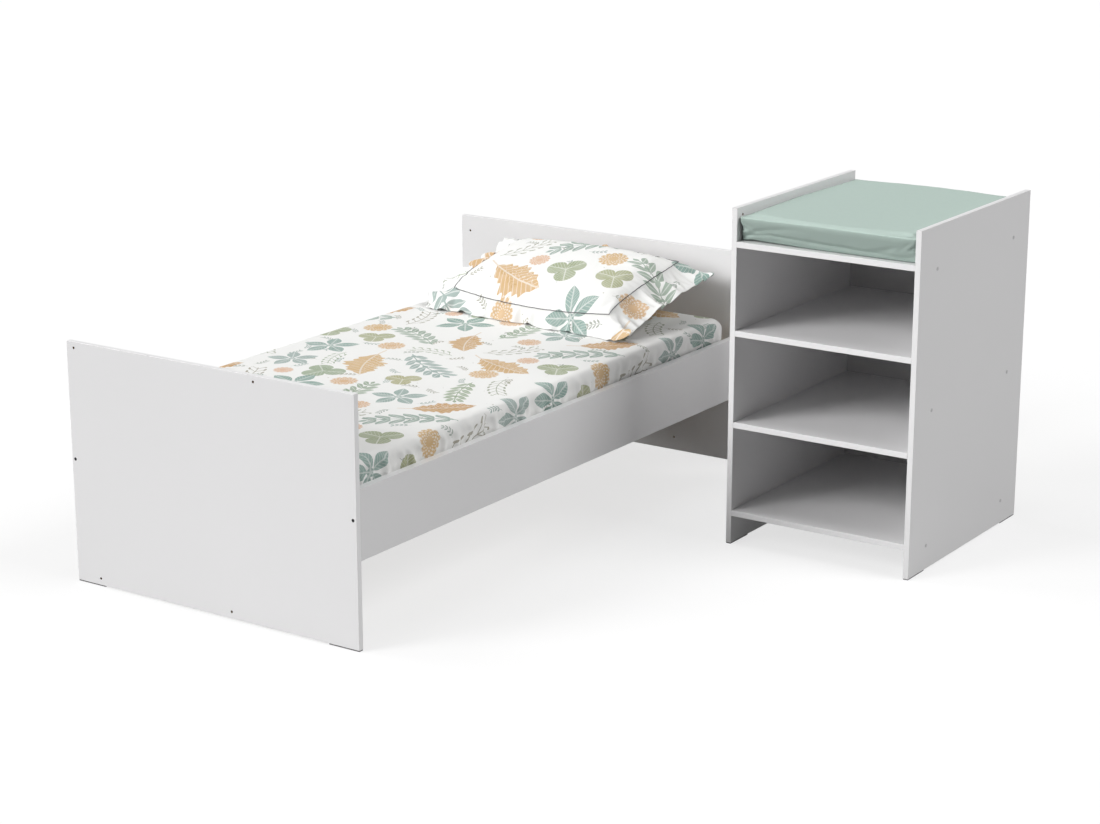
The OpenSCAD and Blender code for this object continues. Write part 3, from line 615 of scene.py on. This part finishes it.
# %% Mattress core
MM = 0.001
mattress_low, mattress_high = (np.array(corner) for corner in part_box("mattress"))
CORE_INSET, CORE_BELOW_SHEET = 11 * MM, 2.5 * MM
CORE_CORNER, CORE_ROLL, CORE_FOOT, CORE_CROWN = 32 * MM, 20 * MM, 10 * MM, 4 * MM
CORE_ABOVE_SHEET = 0.6 * MM
core_low = mattress_low + [CORE_INSET, CORE_INSET, CORE_ABOVE_SHEET]
core_high = mattress_high - [CORE_INSET, CORE_INSET, CORE_BELOW_SHEET]
core_mesh, _, core_cloth, _, _ = shape_slab(
    "mattress_core", pad_grid(50, 96, 8), core_low, core_high, CORE_CORNER, CORE_ROLL, CORE_FOOT, CORE_CROWN)
write_cloth_map(core_mesh, core_cloth)

ticking = Finish("ticking", roughness=0.85)
TICKING_WHITE, TICKING_GREY = (0.74, 0.73, 0.69), (0.46, 0.49, 0.53)
TWILL_PITCH, STRIPE_PITCH = 0.0022, 0.030
run = ticking.node("ShaderNodeUVMap", {"uv_map": "cloth"})[0].parts()
twill = ((run[0] + run[1]) * (2 * math.pi / TWILL_PITCH)).math("SINE") * 0.5 + 0.5
stripe = ((run[0] * (1 / STRIPE_PITCH)).math("FRACT") < 0.12) * 0.8
ticking.look(base_color=ticking.mix(TICKING_WHITE, TICKING_GREY, stripe), roughness=0.75 + 0.15 * twill,
             normal=ticking.bump(twill, 0.0002))
core = soft_piece("mattress_core", core_mesh, ticking, "mattress_body")
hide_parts("mattress")
print("mattress core:", len(core_mesh.polygons), "faces")

# %% [markdown]
# The fitted sheet is one rectangle of cotton, stretched over the top and pulled under the mattress by elastic, so
# it stays smooth on top and gathers into soft upright pleats down the sides and most of all at the corners. Each
# pleat is a ridge across the distance round the outline, slanted a little and fading in below the rim.

# %% Pleats
def round_the_rim(param, half):
    """Distance round the outline, from the front right corner on."""
    x, y = param[:, 0] * half[0], param[:, 1] * half[1]
    on_sides = half[0] - np.abs(x) < half[1] - np.abs(y)
    sides = np.where(x > 0, half[1] + y, 3 * half[1] + 2 * half[0] - y)
    ends = np.where(y > 0, 2 * half[1] + half[0] - x, 4 * half[1] + 3 * half[0] + x)
    return np.where(on_sides, sides, ends)


def pleats(distance, drop, total, spacing, height, widths, seed, fade=0.035, early=0.6):
    """Upright soft ridges round a rim: how far each point stands out, in metres. They fade in over `fade` below
    the rim, and start up to `early` times as far above it."""
    draw = np.random.default_rng(seed)
    stand = np.zeros(len(distance))
    place = 0.0
    while place < total:
        width, tall = draw.uniform(*widths), height * draw.uniform(0.4, 1.0)
        slant, start = draw.uniform(-0.45, 0.45), draw.uniform(-early, 0.6 - early) * fade
        away = distance - place - slant * drop
        away = (away + total / 2) % total - total / 2
        grow = np.clip((drop - start) / fade, 0, 1)
        stand += tall * grow * grow * (3 - 2 * grow) / np.cosh(np.clip(away / width, -20, 20)) ** 2
        place += spacing * draw.uniform(0.55, 1.45)
    return stand


# %% [markdown]
# The sheet is shaped over the whole CAD box of the mattress. Three sets of pleats stand out from its sides: wide
# ones, fine ones, and finer ones near the corners; a soft limit keeps them within a few millimetres. Underneath,
# all that lies farther in than the hem is cut away. Its flat size follows from the box, the hem and the rims.

# %% Fitted sheet
SHEET_HEM, SHEET_THICKNESS = 80 * MM, 0.6 * MM
PLEAT_LIMIT, VALLEY_LIMIT = 4.5 * MM, 7.5 * MM
SHEET_COLUMNS, SHEET_ROWS, SHEET_LEVELS = 64, 352, 13
SHEET_CORNER, SHEET_ROLL, SHEET_FOOT, SHEET_CROWN = 40 * MM, 24 * MM, 12 * MM, 5 * MM
sheet_size = mattress_high - mattress_low
sheet_mesh, sheet_param, sheet_cloth, sheet_out, sheet_drop = shape_slab(
    "fitted_sheet", pad_grid(SHEET_COLUMNS, SHEET_ROWS, SHEET_LEVELS), mattress_low, mattress_high,
    SHEET_CORNER, SHEET_ROLL, SHEET_FOOT, SHEET_CROWN, crowd=(0.3, 0))
write_cloth_map(sheet_mesh, sheet_cloth)
half = sheet_size[:2] / 2
rim_place = round_the_rim(sheet_param, half)
rim_length = 4 * half.sum()
stand = pleats(rim_place, sheet_drop, rim_length, 0.050, 14 * MM, (0.007, 0.013), 7, 0.030, 1.1)
stand += pleats(rim_place, sheet_drop, rim_length, 0.022, 4 * MM, (0.005, 0.007), 8, 0.025, 1.0)
rim_corners = np.array([0, 2 * half[1], 2 * half.sum(), 4 * half[1] + 2 * half[0]])
corner_gap = np.abs((rim_place[:, None] - rim_corners + rim_length / 2) % rim_length - rim_length / 2).min(1)
near_corner = np.exp(-(corner_gap / 0.05) ** 2)
stand += near_corner * pleats(rim_place, sheet_drop, rim_length, 0.018, 8 * MM, (0.004, 0.006), 11, 0.025, 1.1)
stand -= 7 * MM * np.clip((sheet_drop + 0.02) / 0.03, 0, 1)
bound = np.where(stand > 0, PLEAT_LIMIT, VALLEY_LIMIT)
points = read_points(sheet_mesh)
points[:, :2] += sheet_out * (bound * np.tanh(stand / bound))[:, None]
write_points(sheet_mesh, points)
under = ((1 - np.abs(sheet_param[:, :2])) * half).min(axis=1) * (sheet_param[:, 2] < 0.001)
trimmed = bmesh.new()
trimmed.from_mesh(sheet_mesh)
inside = [face for face in trimmed.faces if all(under[vert.index] > SHEET_HEM for vert in face.verts)]
bmesh.ops.delete(trimmed, geom=inside, context="FACES")
trimmed.to_mesh(sheet_mesh)
trimmed.free()

sheet = soft_piece("fitted_sheet", sheet_mesh, cotton, "mattress_body")
thick = sheet.modifiers.new("cloth thickness", "SOLIDIFY")
thick.thickness, thick.offset = SHEET_THICKNESS, -1
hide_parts("mattress")
rolls = (SHEET_ROLL + SHEET_FOOT) * (2 - math.pi / 2)
sheet_side = sheet_size[2] - rolls + SHEET_HEM
sheet_cut = [length + 2 * sheet_side for length in sheet_size[:2]]
sheet_cut[0] * sheet_cut[1] - 4 * sheet_side ** 2
print("fitted sheet:", len(sheet_mesh.polygons), "faces, cut", [round(length, 3) for length in sheet_cut], "m")


def sheet_top(x, y):
    """Height of the sheet's upper face, away from its rolled rim."""
    middle = (mattress_low + mattress_high) / 2
    reach = sheet_size[:2] / 2 - SHEET_ROLL + SHEET_ROLL * math.pi / 2
    u, v = (x - middle[0]) / reach[0], (y - middle[1]) / reach[1]
    swell = np.clip(1 - u ** 2, 0, 1) * np.clip(1 - v ** 2, 0, 1)
    return mattress_high[2] - SHEET_CROWN * (1 - np.sqrt(swell))


# %% [markdown]
# The pillow is a filled bag inside a case with a flat flange, so only the part inside the seam is round. It lies
# flat at the front and climbs towards the headboard. A formula gives its shape, then Blender's cloth is blown up
# from inside with the seam and the flange held, for the slightly uneven crown that a filling makes. A cap keeps
# every point near the place that the formula gave it. The mat's cover is blown up in the same way.

# %% Cloth blown up from inside
def puff(mesh, fixed, pressure, cap, slack=0.0, frames=18):
    """Blow a closed cloth up from inside; fixed points stay, and no point moves farther than cap."""
    probe = bpy.data.objects.new("puff", mesh)
    bpy.context.scene.collection.objects.link(probe)
    held = probe.vertex_groups.new(name="fixed")
    held.add([int(index) for index in np.nonzero(fixed)[0]], 1, "REPLACE")
    cloth = probe.modifiers.new("cloth", "CLOTH")
    cloth.settings.vertex_group_mass = "fixed"
    cloth.settings.quality = 6
    cloth.settings.use_pressure = True
    cloth.settings.uniform_pressure_force = pressure
    cloth.settings.shrink_min = -slack
    cloth.settings.effector_weights.gravity = 0
    cloth.point_cache.frame_end = frames
    for frame_number in range(1, frames + 1):
        bpy.context.scene.frame_set(frame_number)
    blown = probe.evaluated_get(bpy.context.evaluated_depsgraph_get())
    before, after = read_points(mesh), read_points(blown.data)
    move = after - before
    length = np.linalg.norm(move, axis=1, keepdims=True)
    print("puff: moved up to", round(length.max() * 1000, 1), "mm, mean", round(length.mean() * 1000, 1), "mm")
    move *= np.minimum(1, cap / np.maximum(length, 1e-9))
    bpy.context.scene.frame_set(1)
    bpy.data.objects.remove(probe)
    write_points(mesh, before + move)


# %% [markdown]
# u and v run across the whole case, a and b only across the filled bag inside its seam. The seam climbs from the
# front to the back, the flange's edge hangs down from it, and where the case would sink into the mattress it
# lies on the sheet instead, its upper layer a little above its lower one.

# %% Pillow
CASE_HALF, CROWN_RISE, BELLY_DEPTH = 0.8 * MM, 30 * MM, 170 * MM
UPPER_REST, LOWER_REST = 2.0 * MM, 0.6 * MM
PILLOW_PRESSURE, PILLOW_CAP, PILLOW_SLACK = 4.0, 10 * MM, 0.02
CLIMB = 0.65
PILLOW_W, PILLOW_L = 752 * MM, 464 * MM
SIDE_FLANGE, END_FLANGE = 84 * MM, 50 * MM
SIDE_CELLS, END_CELLS, BODY_COLUMNS, BODY_ROWS = 10, 9, 74, 46
pillow_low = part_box("pillow")[0]
pillow_middle = np.array([-0.390, 0.664, pillow_low.z])
seam_u, seam_v = 1 - 2 * SIDE_FLANGE / PILLOW_W, 1 - 2 * END_FLANGE / PILLOW_L


def flange_lines(share, body_cells, flange_cells, seam):
    """Grid lines, -1 to 1, pushed so that flange_cells of them lie between the seam and the edge."""
    line = np.abs(share) * (body_cells / 2 + flange_cells)
    inner = seam * line / (body_cells / 2)
    outer = seam + (1 - seam) * (line - body_cells / 2) / flange_cells
    return np.sign(share) * np.where(line <= body_cells / 2, inner, outer)


def fullness(share):
    return np.clip(1 - np.abs(share) ** 2.6, 0, 1) ** 0.5


pillow_mesh = bpy.data.meshes.new("pillow")
pillow_grid = pad_grid(BODY_COLUMNS + 2 * SIDE_CELLS, BODY_ROWS + 2 * END_CELLS, 1)
pillow_grid.to_mesh(pillow_mesh)
pillow_grid.free()
param = read_points(pillow_mesh)
u = flange_lines(param[:, 0], BODY_COLUMNS, SIDE_CELLS, seam_u)
v = flange_lines(param[:, 1], BODY_ROWS, END_CELLS, seam_v)
upper = param[:, 2] > 0.5
a, b = np.clip(u / seam_u, -1, 1), np.clip(v / seam_v, -1, 1)
side_out = np.clip((np.abs(u) - seam_u) / (1 - seam_u), 0, 1)
end_out = np.clip((np.abs(v) - seam_v) / (1 - seam_v), 0, 1)
beyond = np.maximum(side_out, end_out)
fill = fullness(u / seam_u) * fullness(v / seam_v)
seam_front = (50 + 14 * a * a - 4 * (a < 0) * a * a) * MM
seam_back = (160 - 13 * a * a) * MM
through_seams = seam_front + (seam_back - seam_front) * ((b + 1) / 2) ** CLIMB
edge = (1 + 111 * ((v + 1) / 2) ** CLIMB + 36 * (1 - u * u) * end_out * (v > 0)) * MM
edge -= 20 * MM * np.clip(u, 0, 1) ** 8 * np.clip(v, 0, 1) ** 4
front = (end_out > 0) * (v < 0) * (end_out >= side_out)
hang = 1 - (1 - beyond) ** np.where(side_out > end_out, 2.1, np.where(v < 0, 1.9, 0.8))
forward = (20 * a + 30 * (1 - a * a)) * MM * (1 - b) / 2 * (1 - beyond) + 20 * MM * u * (1 - v) / 2 * beyond
points = np.empty_like(param)
points[:, 0] = PILLOW_W / 2 * u
points[:, 1] = PILLOW_L / 2 * v - forward
lift = np.where(upper, CASE_HALF + CROWN_RISE * fill, -CASE_HALF - BELLY_DEPTH * fill)
points[:, 2] = through_seams * (1 - hang) + edge * hang + lift
ground = sheet_top(points[:, 0] + pillow_middle[0], points[:, 1] + pillow_middle[1]) - pillow_middle[2]
points[:, 2] += ground * (1 - b) / 2
ground += np.where(upper, UPPER_REST, LOWER_REST)
on_mattress = points[:, 2] < ground
points[:, 2] = np.maximum(points[:, 2], ground)
write_points(pillow_mesh, points)
write_cloth_map(pillow_mesh, np.column_stack((u * PILLOW_W / 2, v * PILLOW_L / 2)) + [0.31, 0.17])
on_body_seam = np.maximum(np.abs(a), np.abs(b)) > 0.999
puff(pillow_mesh, (beyond > 0) | on_body_seam | on_mattress, PILLOW_PRESSURE, PILLOW_CAP, PILLOW_SLACK)

# %% [markdown]
# The flange is loose cloth, so it ripples: the same kind of ridges as on the sheet run out from the seam, wider and
# farther apart. They lift the cloth and push it out; the corner nearest the camera folds into a tongue beside a
# valley, and the case puckers a little on the inner side of the seam, where the stitching gathers it.

# %% Flange of the pillow
points = read_points(pillow_mesh)
half = np.array([PILLOW_W, PILLOW_L]) / 2
rim = round_the_rim(np.column_stack((u, v)), half)
rim_length = 4 * half.sum()
past_seam = np.where(side_out >= end_out, SIDE_FLANGE * side_out, END_FLANGE * end_out)


def fold(centre, width):
    away = (rim - centre + rim_length / 2) % rim_length - rim_length / 2
    return np.exp(-(away / width) ** 2)


wave = pleats(rim, past_seam, rim_length, 0.060, 22 * MM, (0.010, 0.018), 3, 0.055, 0.3) - 7.0 * MM * beyond
wave += pleats(rim, past_seam, rim_length, 0.026, 8 * MM, (0.005, 0.008), 9, 0.040, 0.5) - 2.2 * MM * beyond
wave *= np.where(front, 0.8, np.where(side_out > end_out, 1.4, 0.8))
wave += (9 * fold(0.0, 0.030) - 15 * fold(0.062, 0.026) + 7 * fold(0.110, 0.022)) * MM * beyond
rear_left = fold(2 * half.sum(), 0.055)
wave += rear_left * (15 + 9 * np.sin(rim / 0.006)) * MM * beyond ** 1.3
tilt = np.where(front, 0.55, np.where(side_out > end_out, 0.60, 0.2)) * (1 - 0.8 * rear_left)
points[:, 2] += wave * np.sqrt(1 - tilt ** 2)
points[:, 0] += np.where(side_out >= end_out, np.sign(u) * wave * tilt, 0)
points[:, 1] += np.where(side_out < end_out, np.sign(v) * wave * tilt, 0)
points[:, 1] -= front * beyond * 5 * MM * (np.sin(rim / 0.021) + np.sin(rim / 0.034 + 1))
from_seam = np.minimum((seam_u - np.abs(u)) * half[0], (seam_v - np.abs(v)) * half[1])
pucker = pleats(rim, np.full(len(rim), 0.05), rim_length, 0.024, 2.4 * MM, (0.005, 0.008), 21)
points[:, 2] += np.where(from_seam > 0, pucker * np.exp(-from_seam / 0.022) * np.minimum(1, from_seam / 0.006), 0)
points[:, 2] = np.maximum(points[:, 2], ground)
write_points(pillow_mesh, points + pillow_middle)

pillow = soft_piece("pillow_in_case", pillow_mesh, cotton, "pillow_body")
smooth = pillow.modifiers.new("smooth", "SUBSURF")
smooth.levels = smooth.render_levels = 1
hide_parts("pillow")
print("pillow:", len(pillow_mesh.polygons), "faces")

# %% [markdown]
# A thin dark cord is sewn along the seam. It is a curve through the seam's upper vertices, set a little outside
# the cloth and turned into a mesh.

# %% Piping along the pillow's seam
PIPING_RADIUS, PIPING_OUT, PIPING_UP = 1.2 * MM, 0.8 * MM, 0.9 * MM
on_seam = np.abs(np.maximum(np.abs(u) / seam_u, np.abs(v) / seam_v) - 1) < 1e-4
seam_index = sorted(np.nonzero(on_seam & upper)[0], key=lambda vert: rim[vert])
placed = read_points(pillow_mesh)
seam_curve = bpy.data.curves.new("piping", "CURVE")
seam_curve.dimensions = "3D"
seam_curve.bevel_depth, seam_curve.bevel_resolution = PIPING_RADIUS, 1
spline = seam_curve.splines.new("POLY")
spline.points.add(len(seam_index) - 1)
for point, vert in zip(spline.points, seam_index):
    point.co = (*(placed[vert] + [PIPING_OUT * np.sign(u[vert]) * (abs(a[vert]) > 0.999),
                                  PIPING_OUT * np.sign(v[vert]) * (abs(b[vert]) > 0.999), PIPING_UP]), 1)
spline.use_cyclic_u = True
probe = bpy.data.objects.new("piping", seam_curve)
bpy.context.scene.collection.objects.link(probe)
piping_mesh = bpy.data.meshes.new_from_object(probe.evaluated_get(bpy.context.evaluated_depsgraph_get()))
bpy.data.objects.remove(probe)
cord_grey = Finish("piping_grey", roughness=0.8)
turns = cord_grey.object_coords().parts()
twist = ((turns[0] + turns[1] + turns[2]) * (2 * math.pi / 0.0016)).math("SINE") * 0.5 + 0.5
cord_grey.look(base_color=cord_grey.mix((0.06, 0.06, 0.065), (0.14, 0.14, 0.15), twist),
               normal=cord_grey.bump(twist, 0.0002))
soft_piece("pillow_piping", piping_mesh, cord_grey, "pillow_body")
print("piping:", len(seam_index), "points")

# %% [markdown]
# The changing mat is a slab of foam in a green jersey cover. It lies between the side panels, and its cover is a
# little large: a crease climbs from the lower left corner of the front and dies out along its foot, a fainter one
# fans out above it, and below them the cover lifts off the shelf.

# %% Creases
def crease(along, height, places, width, depth):
    """A valley along a line of (along, height) places, with a soft swelling below it."""
    line = np.interp(along, [place[0] for place in places], [place[1] for place in places])
    ends = np.clip((along - places[0][0]) / 0.02, 0, 1) * np.clip((places[-1][0] - along) / 0.16, 0, 1)
    away = height - line
    valley = depth * np.exp(-(away / width) ** 2)
    swelling = 0.25 * depth * np.exp(-((away + 2.6 * width) / (1.8 * width)) ** 2)
    return ends * (swelling - valley)


# %% [markdown]
# The front and the back get the same creases, mirrored, and both step back towards the shelf under an overhang.
# The cover is sewn from a top and a side band. The band, told by its place in the cloth, is coloured darker than
# the top: this is painted shade for the cover's upright sides.

# %% Changing mat
MAT_SIDE_GAP, MAT_END_GAP, MAT_SHELF_GAP, MAT_RISE = 2.5 * MM, 4 * MM, 0.4 * MM, 3 * MM
MAT_PRESSURE, MAT_CAP, MAT_SLACK = 0.3, 4 * MM, 0.01
OVERHANG_HEIGHT, LIFTED_HEIGHT, FACE_DEPTH = 0.055, 0.03, 0.06
MAT_COLUMNS, MAT_ROWS, MAT_LEVELS = 76, 84, 14
MAT_CORNER, MAT_ROLL, MAT_FOOT, MAT_OVERHANG = 9 * MM, 3.5 * MM, 5 * MM, 15 * MM
mat_low, mat_high = (np.array(corner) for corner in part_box("changing_mat"))
mat_mesh, mat_param, mat_cloth, mat_out, mat_drop = shape_slab(
    "changing_mat", pad_grid(MAT_COLUMNS, MAT_ROWS, MAT_LEVELS),
    mat_low + [MAT_SIDE_GAP, MAT_END_GAP, MAT_SHELF_GAP], mat_high - [MAT_SIDE_GAP, MAT_END_GAP, -MAT_RISE],
    MAT_CORNER, MAT_ROLL, MAT_FOOT, crowd=(0.3, 0.3))
write_cloth_map(mat_mesh, mat_cloth)
puff(mat_mesh, mat_param[:, 2] < 0.1, MAT_PRESSURE, MAT_CAP, MAT_SLACK)
points = read_points(mat_mesh)
mat_size = mat_high - mat_low
height = points[:, 2] - mat_low[2]
on_wall = np.clip((mat_drop + 0.010) / 0.02, 0, 1) * (mat_param[:, 2] > 0.001)
across = points[:, 0] - mat_low[0]
middle_y = (mat_low[1] + mat_high[1]) / 2
for side, start in ((-1, across), (1, mat_size[0] - across)):
    faces = np.clip(side * mat_out[:, 1], 0, 1) * on_wall
    stand = crease(start, height, [(-0.01, 0.008), (0.09, 0.025), (0.26, 0.018), (0.50, 0.012)], 3.5 * MM, 5 * MM)
    stand += crease(start, height, [(0.0, 0.010), (0.06, 0.034), (0.15, 0.050), (0.24, 0.052)], 6 * MM, 3 * MM)
    near_face = np.clip(1 - (mat_size[1] / 2 - side * (points[:, 1] - middle_y)) / FACE_DEPTH, 0, 1)
    recede = MAT_OVERHANG * np.clip(1 - height / OVERHANG_HEIGHT, 0, 1) * near_face
    points[:, 1] += side * (faces * stand - recede)
    lift = np.interp(start, [0.004, 0.030, 0.070, 0.21], [0, 7 * MM, 5 * MM, 0])
    points[:, 2] += near_face ** 2 * lift * np.clip(1 - height / LIFTED_HEIGHT, 0, 1)
points = np.clip(points, mat_low + [0.4 * MM, 0, 0.3 * MM], mat_high + [-0.4 * MM, 0, 6 * MM])
write_points(mat_mesh, points)

# The side band's darker colour is painted shade, standing in for the lower light on the cover's upright sides.
STITCH, BAND_PAINTED_SHADE = 0.0016, 0.80
JERSEY_GREEN, JERSEY_SHADE = (0.465, 0.565, 0.52), (0.41, 0.51, 0.465)
jersey = Finish("jersey", roughness=0.85)
cover_place = jersey.node("ShaderNodeUVMap", {"uv_map": "cloth"})[0]
stitch = cover_place.vector("SCALE", Scale=2 * math.pi / STITCH)[0].parts()
knit = (stitch[0] + abs((stitch[1] * 0.5).math("SINE")) * 2).math("SINE") * 0.5 + 0.5
fuzz = jersey.noise(jersey.object_coords(), 60, 3)
# Mask of the side band, where painted shade darkens the green.
painted_shade_band = 0
for run, width in zip(cover_place.parts(), mat_size[:2] - [2 * MAT_SIDE_GAP, 2 * MAT_END_GAP]):
    painted_shade_band = painted_shade_band + (abs(run) > width / 2 - MAT_ROLL + MAT_ROLL * math.pi / 2)
pile = jersey.mix(JERSEY_SHADE, JERSEY_GREEN, fuzz * 0.6 + knit * 0.3)
jersey.look(
    base_color=jersey.mix(pile, tuple(c * BAND_PAINTED_SHADE for c in JERSEY_SHADE), painted_shade_band.math("MINIMUM", 1) * 0.8),
    roughness=0.80 + 0.12 * fuzz,
    normal=jersey.bump(knit + fuzz, 0.00016, 0.7),
)
mat = soft_piece("mat_in_cover", mat_mesh, jersey, "mat_body")
smooth = mat.modifiers.new("smooth", "SUBSURF")
smooth.levels = smooth.render_levels = 1
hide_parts("changing_mat")
print("changing mat:", len(mat_mesh.polygons), "faces")

# %% [markdown]
# The floor is white to the eye of the camera and a dark grey to the lamps, so that it lights the shelves only a
# little from below, and it keeps a soft part of the object's shadow. The sky is one even white, full to the camera
# and faint as a light. A broad lamp at the front left makes the fronts brighter than the right-hand sides, as in
# the photograph. One from the right, a little behind, rakes along the mattress, so that the pleats of the sheet
# show, and three weaker ones fill in from high up.

# %% Floor, sky and lamps
FLOOR_SHADOW, FLOOR_DROP, FLOOR_REACH = 0.30, 0.0005, 30
FLOOR_TO_LAMPS, FLOOR_TO_EYE = (0.28, 0.28, 0.28), (0.96, 0.96, 0.96)
floor_bmesh = bmesh.new()
bmesh.ops.create_grid(floor_bmesh, x_segments=1, y_segments=1, size=FLOOR_REACH)
floor_mesh = bpy.data.meshes.new("floor")
floor_bmesh.to_mesh(floor_mesh)
floor_bmesh.free()
floor = bpy.data.objects.new("floor", floor_mesh)
floor.location.z = -FLOOR_DROP
bpy.context.scene.collection.objects.link(floor)

floor_look = Finish("floor", roughness=1, specular_ior_level=0)
rays = floor_look.node("ShaderNodeLightPath")
seen = floor_look.node("ShaderNodeMath", {"operation": "ADD", "use_clamp": True},
                       {0: rays["Is Camera Ray"], 1: rays["Is Glossy Ray"]})[0]
floor_look.look(base_color=floor_look.mix(FLOOR_TO_LAMPS, FLOOR_TO_EYE, seen))
lit, white = Value(floor_look, floor_look.surface.outputs[0]), floor_look.node("ShaderNodeEmission")[0]
shown = floor_look.node("ShaderNodeMixShader", None, {0: seen * (1 - FLOOR_SHADOW), 1: lit, 2: white})[0]
floor_look.feed(floor_look.tree.nodes["Material Output"].inputs["Surface"], shown)
floor.data.materials.append(floor_look.material)

SKY = 0.10
world = bpy.data.worlds.new("studio")
bpy.context.scene.world = world
world.use_nodes = True
sky = Nodes(world.node_tree)
rays = sky.node("ShaderNodeLightPath")
seen = rays["Is Camera Ray"].math("MAXIMUM", rays["Is Transmission Ray"])
strength = sky.node("ShaderNodeMix", None, {"Factor": seen, 2: SKY, 3: 1})[0]
background = sky.tree.nodes["Background"]
sky.feed(background.inputs["Strength"], strength)
sky.feed(background.inputs["Color"], (1, 1, 1))


def lamp(name, left, up, light, spread=30):
    """A far soft lamp, left and up degrees from the front; light is what it adds on a face that looks at it."""
    data = bpy.data.lights.new(name, "SUN")
    data.energy, data.angle = light * math.pi, math.radians(spread)
    left, up = math.radians(left), math.radians(up)
    towards = Vector((-math.sin(left) * math.cos(up), -math.cos(left) * math.cos(up), math.sin(up)))
    made = bpy.data.objects.new(name, data)
    made.rotation_euler = towards.to_track_quat("Z", "Y").to_euler()
    bpy.context.scene.collection.objects.link(made)


lamp("front_left", 36, 22, 0.80)
lamp("front_high", 20, 40, 0.14)
lamp("right_behind", -103, 40, 0.53)
lamp("left_high", 82, 50, 0.25)
lamp("overhead", 0, 89, 0.08)
bpy.context.scene.view_settings.view_transform = "Standard"

# %% [markdown]
# The view layer is brought up to date.

# %% Update the view layer
bpy.context.view_layer.update()
